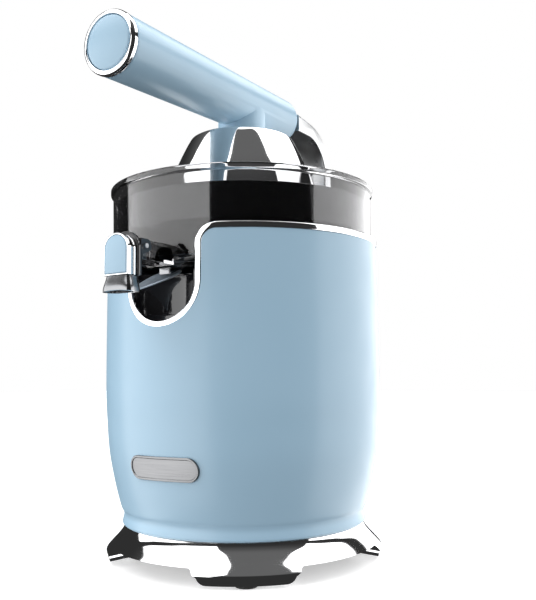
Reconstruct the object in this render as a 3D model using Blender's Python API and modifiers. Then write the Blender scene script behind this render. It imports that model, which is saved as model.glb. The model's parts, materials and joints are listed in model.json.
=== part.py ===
"""A lever citrus press juicer: painted housing, smoked juice bowl, tilting spout and hinged press arm.

Lengths are metres. Sizes below are given about the drive axis (x = y = 0), with the spout towards -Y
and the resting surface at z = 0. The empty juicer_frame then sets the whole model over its own centre.
"""

import math

import bmesh
import bpy
from mathutils import Matrix, Vector

MM = 0.001
GAP = 0.3 * MM  # clearance between pieces that touch

# Whole model
DRIVE_AXIS_Y = 12.8 * MM  # where the drive axis stands when the model is centred over the origin
ROUND = 32  # sides of a large turned piece
SMALL_ROUND = 12  # sides of a small turned piece

# Housing
BODY_RADIUS = 96.5 * MM
BODY_TOP = 215.7 * MM
BODY_BOTTOM = 25 * MM
BODY_FOOT_RADIUS = 83.9 * MM
BODY_WALL = 2.2 * MM
TRIM_HEIGHT = 4.2 * MM
TRIM_STEPS = 40  # straight lengths in the band, from one side of the notch round to the other
TRIM_PROUD = 1 * MM
NOTCH_HALF_WIDTH = 27 * MM  # to the middle of the trim
NOTCH_FLOOR = 157.6 * MM  # height of the middle of the trim
NOTCH_SHOULDER = 11 * MM
BADGE_HALF_WIDTH = 26.8 * MM
BADGE_HEIGHT = 15 * MM
BADGE_Z = 69 * MM
BADGE_THICKNESS = 1.4 * MM

# Base
RING_BOTTOM_RADIUS = 93 * MM
RING_EDGE = 11.5 * MM  # height of the base's lower edge between the feet
FOOT_BOTTOM = 1.8 * MM
FOOT_RADIUS = 96 * MM
FOOT_ANGLES = (-56.5, 33.5, 123.5, 213.5)  # degrees from +X, one foot every quarter turn
PAD_THICKNESS = 2.6 * MM
PAD_RADIUS = 7 * MM
PAD_CIRCLE = 86 * MM

# Glossy basin behind the notch
BASIN_Y = -97 * MM
BASIN_RADIUS = 24 * MM
BASIN_WALL = 2 * MM

# Juice bowl, strainer and reamer
RIM_TOP = 257.4 * MM
RIM_RADIUS = 95 * MM
RIM_HEIGHT = 3.6 * MM
BOWL_RADIUS = 93 * MM
BOWL_WALL = 2 * MM
BOWL_FLOOR = 194.5 * MM
STRAINER_TOP = 246.7 * MM
STRAINER_RADIUS = 90.4 * MM
STRAINER_WALL = 1.6 * MM
SLOTS_PER_ROW = 10
REAMER_RADIUS = 34 * MM
REAMER_BASE = 222 * MM
REAMER_TIP = 272 * MM
REAMER_RIBS = 10
STRAINER_FLOOR = 206 * MM
SLOT_RADII = (52 * MM, 70 * MM)

# Motor and gears
STATOR_RADIUS = 40 * MM
STATOR_BOTTOM = 42 * MM
STATOR_TOP = 84 * MM
FAN_BLADES = 7
GEAR_DISTANCE = 37.5 * MM
FIRST_STAGE_Z = 112 * MM  # middle of the motor pinion and of the lay gear
PINION_TEETH = 10
WHEEL_TEETH = 40
FIRST_MODULE = 1.5 * MM
LAY_TEETH = 12
OUTPUT_TEETH = 28
SECOND_MODULE = 1.875 * MM
MOTOR_SHAFT_RADIUS = 3.5 * MM
LAY_SHAFT_RADIUS = 3 * MM
BEARING_RADIUS = 9 * MM
BRACKET_RADIUS = 62 * MM
BRACKET_THICKNESS = 3 * MM
LOWER_BRACKET_Z = 19.5 * MM
UPPER_BRACKET_Z = 96 * MM
POST_RADIUS = 3 * MM
POST_CIRCLE = 54 * MM
GEARBOX_TOP = 139 * MM
DRIVE_SHAFT_RADIUS = 5 * MM
PRESS_TRAVEL = 2.5 * MM  # how far the drive shaft can sink to close the start switch
FLANGE_BOTTOM = 151 * MM
SWITCH_TOP = 147 * MM
PLUNGER_X = -13 * MM

# Lever
HINGE_Y = 108.8 * MM
HINGE_Z = 226 * MM
HINGE_PIN_RADIUS = 4 * MM
KNUCKLE_RADIUS = 9.3 * MM
ARM_HALF_WIDTH = 17 * MM
ARM_RADIUS = 40.3 * MM  # of the outer side of the arm's bend
ARM_THICKNESS = 11 * MM
ARM_CENTRE_Y = 74 * MM
ARM_CENTRE_Z = 290 * MM
ARM_SCREW_ANGLE = math.radians(14)  # where the screw sits round the bend
TUBE_RADIUS = 19.7 * MM  # at the front end; the grip narrows slightly towards the rear
TUBE_REAR_RADIUS = 17.7 * MM
TUBE_WALL = 2 * MM
TUBE_FRONT_Y = -139.5 * MM
TUBE_REAR_Y = 57.5 * MM
TUBE_AXIS_Z = 326.3 * MM  # height of the tube's axis over the drive axis
TUBE_SLOPE = math.radians(1.7)  # the front end is the lower one
COLLAR_RADIUS = 17.4 * MM
COLLAR_BOTTOM = 304.5 * MM
DOME_TOP = 299.5 * MM
DOME_BOTTOM = 240 * MM
DOME_RADIUS = 59 * MM
DOME_WALL = 1.6 * MM

# Spout
SPOUT_PIVOT_Y = -120.5 * MM
SPOUT_PIVOT_Z = 203 * MM
SPOUT_PIN_RADIUS = 1.5 * MM
NOSE_HALF_WIDTH = 7.9 * MM  # the bowl's own outlet tunnel
NOSE_FRONT_Y = -121.5 * MM
NOSE_APEX = 209 * MM
HOOD_HALF_WIDTH = 10.8 * MM
HOOD_REAR_Y = -124.6 * MM
HOOD_FRONT_Y = -128.3 * MM
SPOUT_FRAME_FRONT_Y = -135.9 * MM
SPOUT_FRAME_HALF_WIDTH = 9.6 * MM
SPOUT_FACE_HALF_WIDTH = 8.7 * MM  # of the frame's opening, which the plate fills
SPOUT_HOLLOW_HALF_WIDTH = 7.4 * MM  # of the clear way for the juice inside the spout
HOOD_APEX = 211.5 * MM
HOOD_BOTTOM = 184.6 * MM
LIP_TOP = BOWL_FLOOR - GAP
LIP_REAR_Y = -80.5 * MM
LIP_FRONT_Y = -123.3 * MM
LIP_TIP_Z = 175.8 * MM
LIP_HALF_WIDTH = 10 * MM
LIP_TIP_HALF_WIDTH = 1 * MM
LIP_THICKNESS = 1.6 * MM
LIP_STEPS = 10
NOZZLE_BOTTOM = 175 * MM
NOZZLE_HALF_WIDTH = 11.4 * MM

COLOURS = {  # linear colour, roughness, metallic
    "blue_paint": ((0.36, 0.52, 0.66), 0.38, 0.0),
    "chrome": ((0.80, 0.81, 0.82), 0.06, 1.0),
    "dark_chrome": ((0.22, 0.23, 0.25), 0.15, 1.0),
    "brushed_badge": ((0.62, 0.63, 0.65), 0.35, 1.0),
    "smoked_plastic": ((0.10, 0.10, 0.11), 0.08, 0.0),
    "black_plastic": ((0.015, 0.015, 0.017), 0.25, 0.0),
    "grey_plastic": ((0.25, 0.25, 0.26), 0.45, 0.0),
    "white_plastic": ((0.75, 0.74, 0.70), 0.45, 0.0),
    "rubber": ((0.02, 0.02, 0.02), 0.8, 0.0),
    "steel": ((0.50, 0.50, 0.51), 0.3, 1.0),
    "cast_metal": ((0.42, 0.43, 0.44), 0.4, 1.0),
    "brass": ((0.62, 0.45, 0.20), 0.3, 1.0),
    "copper": ((0.60, 0.28, 0.14), 0.35, 1.0),
}


# ---------------------------------------------------------------- scene helpers


def clear_scene():
    for obj in list(bpy.data.objects):
        bpy.data.objects.remove(obj, do_unlink=True)


def new_collection(name):
    collection = bpy.data.collections.new(name)
    bpy.context.scene.collection.children.link(collection)
    return collection


def new_empty(name, location, parent=None):
    empty = bpy.data.objects.new(name, None)
    empty.empty_display_size = 0.02
    empty.location = location
    empty.parent = parent
    PARTS.objects.link(empty)
    return empty


def material(name):
    found = bpy.data.materials.get(name)
    if found:
        return found
    colour, roughness, metallic = COLOURS[name]
    made = bpy.data.materials.new(name)
    made.use_nodes = True
    shader = made.node_tree.nodes["Principled BSDF"]
    shader.inputs["Base Color"].default_value = (*colour, 1.0)
    shader.inputs["Roughness"].default_value = roughness
    shader.inputs["Metallic"].default_value = metallic
    return made


def place(obj, slot, pivot=None):
    """Finishes a piece: its material, its collection and the empty that carries it."""
    obj.data.materials.clear()
    obj.data.materials.append(material(slot))
    for collection in list(obj.users_collection):
        collection.objects.unlink(obj)
    PARTS.objects.link(obj)
    obj.parent = pivot or FRAME
    if pivot:
        obj.matrix_parent_inverse = Matrix.Translation(-pivot.location)
    return obj


def as_cutter(obj):
    """Makes an object a hidden helper for Boolean modifiers."""
    for collection in list(obj.users_collection):
        collection.objects.unlink(obj)
    CUTTERS.objects.link(obj)
    obj.parent = FRAME
    obj.hide_render = True
    obj.display_type = "WIRE"
    return obj


def boolean(target, other, operation="DIFFERENCE"):
    modifier = target.modifiers.new(other.name, "BOOLEAN")
    modifier.object = other
    modifier.operation = operation
    modifier.solver = "EXACT"


def bevel(obj, width, segments=2, angle=40):
    modifier = obj.modifiers.new("edges", "BEVEL")
    modifier.width = width
    modifier.segments = segments
    modifier.limit_method = "ANGLE"
    modifier.angle_limit = math.radians(angle)


def smooth(obj, angle=35):
    obj.data.shade_smooth()
    obj.data.set_sharp_from_angle(angle=math.radians(angle))


def mesh_object(name, build):
    """A new object whose mesh is made by build(bm)."""
    bm = bmesh.new()
    build(bm)
    mesh = bpy.data.meshes.new(name)
    bm.to_mesh(mesh)
    bm.free()
    obj = bpy.data.objects.new(name, mesh)
    bpy.context.scene.collection.objects.link(obj)
    return obj


# ---------------------------------------------------------------- shapes


def turned(name, profile, steps=ROUND, centre=(0, 0, 0)):
    """A Screw around Z through centre. The profile's (r, z) points run down its outer side.

    A profile that starts and ends on the axis makes a solid; any other is closed into a ring.
    """
    closed = profile[0][0] > 0 or profile[-1][0] > 0

    def build(bm):
        points = [bm.verts.new((r, 0, z)) for r, z in profile]
        for start, end in zip(points, points[1:]):
            bm.edges.new((start, end))
        if closed:
            bm.edges.new((points[-1], points[0]))

    obj = mesh_object(name, build)
    screw = obj.modifiers.new("turn", "SCREW")
    screw.steps = steps
    screw.render_steps = steps
    screw.use_merge_vertices = True
    screw.merge_threshold = 0.00002
    obj.location = centre
    smooth(obj)
    return obj


def ring(name, inner, outer, bottom, top, steps=SMALL_ROUND, centre=(0, 0, 0)):
    profile = [(inner, top), (outer, top), (outer, bottom), (inner, bottom)]
    return turned(name, profile, steps, centre)


def disc(name, radius, bottom, top, steps=SMALL_ROUND, centre=(0, 0, 0)):
    profile = [(0, top), (radius, top), (radius, bottom), (0, bottom)]
    return turned(name, profile, steps, centre)


def cylinder(name, radius, length, centre, axis="Z", steps=SMALL_ROUND):
    """A plain cylinder by its middle, along X, Y or Z."""
    bpy.ops.mesh.primitive_cylinder_add(vertices=steps, radius=radius, depth=length, location=centre)
    obj = bpy.context.active_object
    obj.name = name
    turns = {"X": (0, math.pi / 2, 0), "Y": (math.pi / 2, 0, 0), "Z": (0, 0, 0)}
    obj.rotation_euler = turns[axis]
    smooth(obj)
    return obj


def box(name, low, high):
    """A box by its lowest and highest corners, with its own scale applied."""
    low, high = Vector(low), Vector(high)
    bpy.ops.mesh.primitive_cube_add(size=1, location=(low + high) / 2)
    obj = bpy.context.active_object
    obj.name = name
    obj.data.transform(Matrix.Diagonal((*(high - low), 1)))
    return obj


def flat(name, outlines, thickness, centre=(0, 0, 0), plane="XY"):
    """A plate: closed outlines in a plane, the first one solid and the others holes, as one mesh.

    In plane YZ an outline's points are (y, z), and the thickness runs along X.
    In plane XZ they are (x, z), and it runs along Y.
    """
    curve = bpy.data.curves.new(name, "CURVE")
    curve.dimensions = "2D"
    curve.fill_mode = "BOTH"
    curve.extrude = thickness / 2
    for outline in outlines:
        spline = curve.splines.new("POLY")
        spline.points.add(len(outline) - 1)
        for point, (x, y) in zip(spline.points, outline):
            point.co = (x, y, 0, 1)
        spline.use_cyclic_u = True
    holder = bpy.data.objects.new(name, curve)
    turns = {"XY": (0, 0, 0), "YZ": (math.pi / 2, 0, math.pi / 2), "XZ": (math.pi / 2, 0, 0)}
    holder.rotation_euler = turns[plane]
    holder.location = centre
    return as_mesh(holder)


def as_mesh(holder):
    """Turns a curve object into a mesh object with welded caps, in the same place."""
    name = holder.name
    bpy.context.scene.collection.objects.link(holder)
    bpy.context.view_layer.update()
    graph = bpy.context.evaluated_depsgraph_get()
    mesh = bpy.data.meshes.new_from_object(holder.evaluated_get(graph))
    bm = bmesh.new()
    bm.from_mesh(mesh)
    bmesh.ops.remove_doubles(bm, verts=bm.verts, dist=0.00001)
    bmesh.ops.recalc_face_normals(bm, faces=bm.faces)
    bm.to_mesh(mesh)
    bm.free()
    obj = bpy.data.objects.new(name, mesh)
    obj.matrix_world = holder.matrix_world.copy()
    bpy.data.objects.remove(holder, do_unlink=True)
    bpy.context.scene.collection.objects.link(obj)
    obj.name = name
    smooth(obj, 30)
    return obj


def wire(name, points, radius, cyclic=False, resolution=2):
    """A round tube along points, as one welded mesh."""
    curve = bpy.data.curves.new(name, "CURVE")
    curve.dimensions = "3D"
    curve.bevel_depth = radius
    curve.bevel_resolution = resolution
    curve.use_fill_caps = True
    spline = curve.splines.new("POLY")
    spline.points.add(len(points) - 1)
    for point, place_at in zip(spline.points, points):
        point.co = (*place_at, 1)
    spline.use_cyclic_u = cyclic
    return as_mesh(bpy.data.objects.new(name, curve))


def arc(centre, radius, start, end, count):
    """Points of a circular arc in a plane, angles in degrees."""
    angles = [math.radians(start + (end - start) * i / count) for i in range(count + 1)]
    return [(centre[0] + radius * math.cos(a), centre[1] + radius * math.sin(a)) for a in angles]


def circle(radius, count=SMALL_ROUND):
    return arc((0, 0), radius, 0, 360, count)[:-1]


def stadium(half_width, height, count=8):
    radius = height / 2
    right = arc((half_width - radius, 0), radius, -90, 90, count)
    left = arc((radius - half_width, 0), radius, 90, 270, count)
    return right + left


def arch(half_width, bottom, apex, count=6):
    """A doorway outline with a round top, as (x, z)."""
    middle = apex - half_width
    return [(-half_width, bottom), (half_width, bottom)] + arc((0, middle), half_width, 0, 180, count)


def gear_outline(teeth, module, first_tooth):
    """Trapezoid teeth with running backlash. first_tooth is the angle of one tooth's middle, in degrees."""
    root = module * teeth / 2 - 1.2 * module
    tip = module * teeth / 2 + 0.9 * module
    pitch = 360 / teeth
    shares = ((-0.28, root), (-0.11, tip), (0.11, tip), (0.28, root))
    points = []
    for tooth in range(teeth):
        middle = first_tooth + tooth * pitch
        for share, radius in shares:
            angle = math.radians(middle + share * pitch)
            points.append((radius * math.cos(angle), radius * math.sin(angle)))
    return points


def around(angle_degrees, radius, z=0.0):
    angle = math.radians(angle_degrees)
    return Vector((radius * math.cos(angle), radius * math.sin(angle), z))


# ---------------------------------------------------------------- housing and base


def body_profile():
    """The outer side of the housing, from its top edge down to its rolled foot."""
    return [
        (BODY_RADIUS, BODY_TOP),
        (BODY_RADIUS + 0.5 * MM, 118 * MM),
        (BODY_RADIUS - 0.5 * MM, 95 * MM),
        (BODY_RADIUS - 2.2 * MM, 74 * MM),
        (BODY_RADIUS - 6.2 * MM, 53 * MM),
        (BODY_RADIUS - 10 * MM, 36 * MM),
        (BODY_FOOT_RADIUS, BODY_BOTTOM),
    ]


def notch_path(offset, count):
    """Half of the notch's outline at x >= 0, from the top edge down to its lowest point, as (x, z).

    It is set outwards from the middle of the trim by offset.
    """
    half = NOTCH_HALF_WIDTH + offset
    top = BODY_TOP + GAP + TRIM_HEIGHT / 2 - offset
    shoulder = NOTCH_SHOULDER - offset
    corner = arc((half + shoulder, top - shoulder), shoulder, 90, 180, count)
    belly = arc((0, NOTCH_FLOOR + NOTCH_HALF_WIDTH), half, 0, -90, 2 * count)
    return corner + belly


def make_body_shell():
    outer = body_profile()
    inner = [(r - BODY_WALL, z) for r, z in reversed(outer)]
    shell = turned("body_shell", outer + inner)
    half = notch_path(TRIM_HEIGHT / 2 + GAP, 3)
    outline = half + [(-x, z) for x, z in reversed(half[:-1])]
    above = BODY_TOP + 12 * MM
    outline = [(outline[0][0], above)] + outline + [(outline[-1][0], above)]
    cutter = flat("notch_cutter", [outline], 60 * MM, (0, -BODY_RADIUS, 0), "XZ")
    boolean(shell, as_cutter(cutter))
    return place(shell, "blue_paint")


def make_body_trim():
    """A bright band round the top edge that dips round the notch."""
    radius = BODY_RADIUS + TRIM_PROUD - TRIM_HEIGHT / 2
    half = notch_path(0, 3)
    notch_angle = math.degrees(math.asin(half[0][0] / radius))
    sweep = 360 - 2 * notch_angle
    rear = [around(notch_angle - 90 + sweep * i / TRIM_STEPS, radius) for i in range(TRIM_STEPS + 1)]
    top = BODY_TOP + GAP + TRIM_HEIGHT / 2
    points = [(v.x, v.y, top) for v in rear]
    dip = [(-x, z) for x, z in half] + [(x, z) for x, z in reversed(half[:-1])]
    points += [(x, -math.sqrt(radius**2 - x**2), z) for x, z in dip[1:-1]]
    trim = wire("body_trim", points, TRIM_HEIGHT / 2, cyclic=True, resolution=1)
    return place(trim, "chrome")


def make_badge():
    """A plain raised nameplate that follows the housing's curve and lean."""
    outline = stadium(BADGE_HALF_WIDTH, BADGE_HEIGHT)
    plate = flat("badge_plate", [outline], 60 * MM, (0, -BODY_RADIUS, BADGE_Z), "XZ")
    lean = body_profile()[2:5]
    front = [(r + GAP + BADGE_THICKNESS, z) for r, z in lean]
    back = [(r + GAP, z) for r, z in reversed(lean)]
    boolean(plate, as_cutter(turned("badge_bend", front + back)), "INTERSECT")
    return place(plate, "brushed_badge")


def base_gap_cutter(index, angle):
    """A wedge that clears the base's lower edge between two feet, wider at the floor."""
    name = f"base_gap_{index}"
    cutter = box(name, (60 * MM, -1, -2 * MM), (120 * MM, 1, RING_EDGE))
    for vertex in cutter.data.vertices:
        at_floor = vertex.co.z < 0
        half_angle = 28.0 if at_floor else 23.0
        half = FOOT_RADIUS * math.sin(math.radians(half_angle))
        vertex.co.y = math.copysign(half, vertex.co.y)
    cutter.location = (90 * MM) * Vector((math.cos(math.radians(angle)), math.sin(math.radians(angle)), 0))
    cutter.location.z = (RING_EDGE - 2 * MM) / 2
    cutter.rotation_euler.z = math.radians(angle)
    return as_cutter(cutter)


def make_base():
    """The flared bright base, cut away between its four feet."""
    top = BODY_BOTTOM - GAP
    profile = [
        (BODY_FOOT_RADIUS - 0.6 * MM, top),
        (BODY_FOOT_RADIUS + 1.2 * MM, top - 4 * MM),
        (RING_BOTTOM_RADIUS, RING_EDGE),
        (FOOT_RADIUS, RING_EDGE - 3 * MM),
        (FOOT_RADIUS, FOOT_BOTTOM),
        (74 * MM, FOOT_BOTTOM),
        (74 * MM, RING_EDGE + 2 * MM),
        (80 * MM, top - 6 * MM),
        (80 * MM, top),
    ]
    base = turned("base_ring", profile)
    for index, angle in enumerate(FOOT_ANGLES):
        boolean(base, base_gap_cutter(index + 1, angle + 45))
    for index, angle in enumerate(FOOT_ANGLES):
        spot = around(angle, PAD_CIRCLE, FOOT_BOTTOM)
        depth = 2 * (PAD_THICKNESS - FOOT_BOTTOM + GAP)
        pocket = cylinder(f"pad_pocket_{index + 1}", PAD_RADIUS + GAP, depth, spot)
        boolean(base, as_cutter(pocket))
    return place(base, "chrome")


def make_foot_pads():
    for index, angle in enumerate(FOOT_ANGLES):
        spot = around(angle, PAD_CIRCLE)
        pad = disc(f"foot_pad_{index + 1}", PAD_RADIUS, 0, PAD_THICKNESS, 16, spot)
        place(pad, "rubber")


def make_bottom_cover():
    """The floor of the machine, with cooling slots and three screw holes."""
    cover = disc("bottom_cover", 73.5 * MM, 7 * MM, 9.5 * MM)
    for row in range(-2, 3):
        y = row * 8 * MM
        slot = box(f"vent_{row + 3}", (-20 * MM, y - 2 * MM, 0), (20 * MM, y + 2 * MM, 20 * MM))
        boolean(cover, as_cutter(slot))
    place(cover, "black_plastic")
    for index, angle in enumerate((90, 210, 330)):
        spot = around(angle, 62 * MM)
        hole = cylinder(f"screw_hole_{index + 1}", 2.3 * MM, 20 * MM, spot + Vector((0, 0, 8 * MM)), steps=12)
        boolean(cover, as_cutter(hole))
        head = 4 * MM
        profile = [
            (0, 17 * MM),
            (1.9 * MM, 16 * MM),
            (1.9 * MM, 7 * MM - GAP),
            (head, 7 * MM - GAP),
            (head * 0.8, 4.6 * MM),
            (0, 4.4 * MM),
        ]
        place(turned(f"base_screw_{index + 1}", profile, 12, spot), "steel")


def make_cord_gland():
    """The rear grommet that the mains lead would leave through."""
    spot_y = 91 * MM
    gland = cylinder("cord_gland", 7 * MM, 14 * MM, (0, spot_y, 40 * MM), "Y", 16)
    bore = cylinder("gland_bore", 3.6 * MM, 30 * MM, (0, spot_y, 40 * MM), "Y")
    boolean(gland, as_cutter(bore))
    place(gland, "black_plastic")
    hole = cylinder("gland_hole", 7.3 * MM, 30 * MM, (0, spot_y, 40 * MM), "Y", 16)
    return as_cutter(hole)


# ---------------------------------------------------------------- inner deck, bowl and strainer


def make_deck():
    """The black deck under the bowl, open where the basin stands behind the notch."""
    outer = BODY_RADIUS - BODY_WALL - 1.6 * MM
    top = BOWL_FLOOR - 2.6 * MM
    profile = [
        (9 * MM, top + 22 * MM),
        (12 * MM, top + 22 * MM),
        (12 * MM, top),
        (outer, top),
        (outer, 128 * MM),
        (outer - 2 * MM, 128 * MM),
        (outer - 2 * MM, top - 2.2 * MM),
        (9 * MM, top - 2.2 * MM),
    ]
    deck = turned("motor_deck", profile)
    hollow = cylinder("basin_hole", BASIN_RADIUS + 2.6 * MM, 90 * MM, (0, BASIN_Y, 190 * MM), steps=24)
    boolean(deck, as_cutter(hollow))
    place(deck, "black_plastic")


def make_basin():
    """The glossy black recess seen through the notch, below the spout."""
    rise = BOWL_FLOOR - 3.2 * MM
    floor = NOTCH_FLOOR - 6 * MM
    outer = BASIN_RADIUS + BASIN_WALL
    profile = [
        (0, floor + 1 * MM),
        (outer - 16 * MM, floor + 2 * MM),
        (outer - 7.5 * MM, floor + 4.8 * MM),
        (BASIN_RADIUS, floor + 13 * MM),
        (BASIN_RADIUS, rise),
        (outer, rise),
        (outer, floor + 12 * MM),
        (outer - 6 * MM, floor + 3 * MM),
        (outer - 16 * MM, floor),
        (0, floor - 1 * MM),
    ]
    basin = turned("spout_basin", profile, 24, (0, BASIN_Y, 0))
    keep = disc("basin_trim", BODY_RADIUS - BODY_WALL - 1.8 * MM, 100 * MM, 240 * MM, 2 * ROUND)
    boolean(basin, as_cutter(keep), "INTERSECT")
    place(basin, "black_plastic")


def make_bowl():
    """The smoked juice bowl: rim, wall, floor, centre sleeve and outlet stub, as one moulding."""
    floor = BOWL_FLOOR
    inside = BOWL_RADIUS - BOWL_WALL
    profile = [
        (inside + 0.3 * MM, RIM_TOP),
        (RIM_RADIUS, RIM_TOP),
        (RIM_RADIUS, RIM_TOP - RIM_HEIGHT),
        (BOWL_RADIUS + 0.3 * MM, RIM_TOP - RIM_HEIGHT - 1 * MM),
        (BOWL_RADIUS - 0.3 * MM, floor + 6 * MM),
        (BOWL_RADIUS - 3 * MM, floor),
        (12.6 * MM, floor),
        (12.6 * MM, floor + 26 * MM),
        (14.6 * MM, floor + 26 * MM),
        (14.6 * MM, floor + 2.4 * MM),
        (BOWL_RADIUS - 4.5 * MM, floor + 2.4 * MM),
        (inside - 0.3 * MM, floor + 7 * MM),
    ]
    bowl = turned("juice_bowl", profile)
    nose_rear = -inside - 0.4 * MM
    nose_length = nose_rear - NOSE_FRONT_Y
    nose_centre = (0, (nose_rear + NOSE_FRONT_Y) / 2, 0)
    nose = flat("outlet_nose", [arch(NOSE_HALF_WIDTH, floor + GAP, NOSE_APEX)], nose_length, nose_centre, "XZ")
    boolean(bowl, as_cutter(nose), "UNION")
    inner = arch(NOSE_HALF_WIDTH - 1.8 * MM, floor + 2.6 * MM, NOSE_APEX - 1.8 * MM)
    channel = flat("outlet_channel", [inner], nose_length + 12 * MM, nose_centre, "XZ")
    boolean(bowl, as_cutter(channel))
    pivot = (0, SPOUT_PIVOT_Y, SPOUT_PIVOT_Z)
    boolean(bowl, as_cutter(cylinder("nose_pin_bore", SPOUT_PIN_RADIUS + GAP, 40 * MM, pivot, "X", 12)))
    place(bowl, "smoked_plastic")


def slot_cutter():
    """Two staggered rows of juice slots, as one cutter of separate bars."""

    def build(bm):
        for row, radius in enumerate(SLOT_RADII):
            for index in range(SLOTS_PER_ROW):
                angle = 2 * math.pi * (index + 0.5 * row) / SLOTS_PER_ROW
                turn = Matrix.Rotation(angle, 4, "Z")
                shift = Matrix.Translation((radius, 0, 214 * MM))
                size = Matrix.Diagonal((11 * MM, 2.6 * MM, 40 * MM, 1))
                bmesh.ops.create_cube(bm, size=1, matrix=turn @ shift @ size)

    return as_cutter(mesh_object("strainer_slots", build))


def make_strainer():
    """The pulp basket: a wall inside the bowl, a slotted cone and a collar round the reamer."""
    profile = [
        (STRAINER_RADIUS - STRAINER_WALL, STRAINER_TOP),
        (STRAINER_RADIUS, STRAINER_TOP),
        (STRAINER_RADIUS - 0.6 * MM, STRAINER_FLOOR + 18 * MM),
        (STRAINER_RADIUS - 6 * MM, STRAINER_FLOOR + 10 * MM),
        (42 * MM, STRAINER_FLOOR),
        (19 * MM, STRAINER_FLOOR),
        (15.2 * MM, STRAINER_FLOOR + 2 * MM),
        (15.2 * MM, REAMER_BASE - GAP),
        (17 * MM, REAMER_BASE - GAP),
        (17 * MM, STRAINER_FLOOR + STRAINER_WALL),
        (42 * MM, STRAINER_FLOOR + STRAINER_WALL),
        (STRAINER_RADIUS - 7 * MM, STRAINER_FLOOR + 11.5 * MM),
        (STRAINER_RADIUS - 2.2 * MM, STRAINER_FLOOR + 19 * MM),
    ]
    strainer = turned("strainer", profile)
    boolean(strainer, slot_cutter())
    place(strainer, "black_plastic")


def reamer_radius(share, angle):
    """Radius of the ribbed reamer at a share of its height, 0 at the base and 1 at the tip."""
    envelope = REAMER_RADIUS * math.sqrt(max(0.0, 1 - share**1.7))
    rib = abs(math.cos(angle * REAMER_RIBS / 2)) ** 0.8
    return envelope * (0.80 + 0.20 * rib)


def make_reamer():
    """The pressing cone: a ribbed loft that shrinks to a rounded tip, hollow over the drive shaft."""
    rings = 6
    sides = REAMER_RIBS * 4

    def build(bm):
        loops = []
        for step in range(rings):
            share = math.sin(math.pi / 2 * step / rings)
            z = REAMER_BASE + (REAMER_TIP - REAMER_BASE) * share
            loop = []
            for side in range(sides):
                angle = 2 * math.pi * side / sides
                radius = reamer_radius(share, angle)
                loop.append(bm.verts.new((radius * math.cos(angle), radius * math.sin(angle), z)))
            loops.append(loop)
        tip = bm.verts.new((0, 0, REAMER_TIP))
        for low, high in zip(loops, loops[1:]):
            for side in range(sides):
                after = (side + 1) % sides
                bm.faces.new((low[side], low[after], high[after], high[side]))
        for side in range(sides):
            bm.faces.new((loops[-1][side], loops[-1][(side + 1) % sides], tip))
        bm.faces.new(list(reversed(loops[0])))

    reamer = mesh_object("reamer_cone", build)
    socket = disc("reamer_socket", 19 * MM, REAMER_BASE - 5 * MM, REAMER_BASE + 12 * MM)
    boolean(reamer, as_cutter(socket))
    bore = disc("reamer_bore", DRIVE_SHAFT_RADIUS + GAP, REAMER_BASE - 5 * MM, REAMER_BASE + 28.3 * MM, 16)
    boolean(reamer, as_cutter(bore))
    smooth(reamer, 50)
    place(reamer, "black_plastic", DRIVE)


# ---------------------------------------------------------------- motor and gears


def make_motor():
    """The upright motor: laminated stator and windings, rotor, fan, shaft with pinion and bearings."""
    stator = ring("stator", 24 * MM, STATOR_RADIUS, STATOR_BOTTOM, STATOR_TOP, 24)
    place(stator, "steel")
    winding_top = STATOR_TOP + 8 * MM
    winding_bottom = STATOR_BOTTOM - 9 * MM
    windings = [
        (20 * MM, winding_top),
        (35 * MM, winding_top),
        (35 * MM, STATOR_TOP + GAP),
        (24 * MM - GAP, STATOR_TOP + GAP),
        (24 * MM - GAP, STATOR_BOTTOM - GAP),
        (35 * MM, STATOR_BOTTOM - GAP),
        (35 * MM, winding_bottom),
        (20 * MM, winding_bottom),
    ]
    place(turned("motor_windings", windings, 16), "copper")
    rotor = ring("rotor", MOTOR_SHAFT_RADIUS + GAP, 19 * MM, STATOR_BOTTOM, STATOR_TOP)
    place(rotor, "steel", MOTOR)
    shaft = disc("motor_shaft", MOTOR_SHAFT_RADIUS, 18.5 * MM, 106.5 * MM)
    place(shaft, "steel", MOTOR)
    pinion = flat(
        "motor_pinion",
        [gear_outline(PINION_TEETH, FIRST_MODULE, 0)],
        10 * MM,
        (0, 0, FIRST_STAGE_Z),
    )
    place(pinion, "brass", MOTOR)
    make_fan()
    for name, bottom in (("bearing_lower", LOWER_BRACKET_Z), ("bearing_upper", UPPER_BRACKET_Z)):
        z = bottom + BRACKET_THICKNESS / 2
        bearing = ring(name, MOTOR_SHAFT_RADIUS + GAP, BEARING_RADIUS, z - 2.5 * MM, z + 2.5 * MM)
        place(bearing, "steel")


def make_fan():
    """A cooling fan: hub and tilted blades under the rotor."""
    fan = ring("cooling_fan", MOTOR_SHAFT_RADIUS + GAP, 8 * MM, 26 * MM, 32 * MM)

    def build(bm):
        for index in range(FAN_BLADES):
            turn = Matrix.Rotation(2 * math.pi * index / FAN_BLADES, 4, "Z")
            tilt = Matrix.Rotation(math.radians(35), 4, "X")
            shift = Matrix.Translation((13.5 * MM, 0, 29 * MM))
            size = Matrix.Diagonal((13 * MM, 1.2 * MM, 6 * MM, 1))
            bmesh.ops.create_cube(bm, size=1, matrix=turn @ shift @ tilt @ size)

    boolean(fan, as_cutter(mesh_object("fan_blades", build)), "UNION")
    place(fan, "white_plastic", MOTOR)


def bracket_plate(name, bottom, holes):
    """A round plate with round holes, given as (x, y, radius)."""
    outlines = [circle(BRACKET_RADIUS, 24)]
    for x, y, radius in holes:
        outlines.append([(x + u, y + v) for u, v in circle(radius)])
    plate = flat(name, outlines, BRACKET_THICKNESS, (0, 0, bottom + BRACKET_THICKNESS / 2))
    place(plate, "cast_metal")


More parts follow.
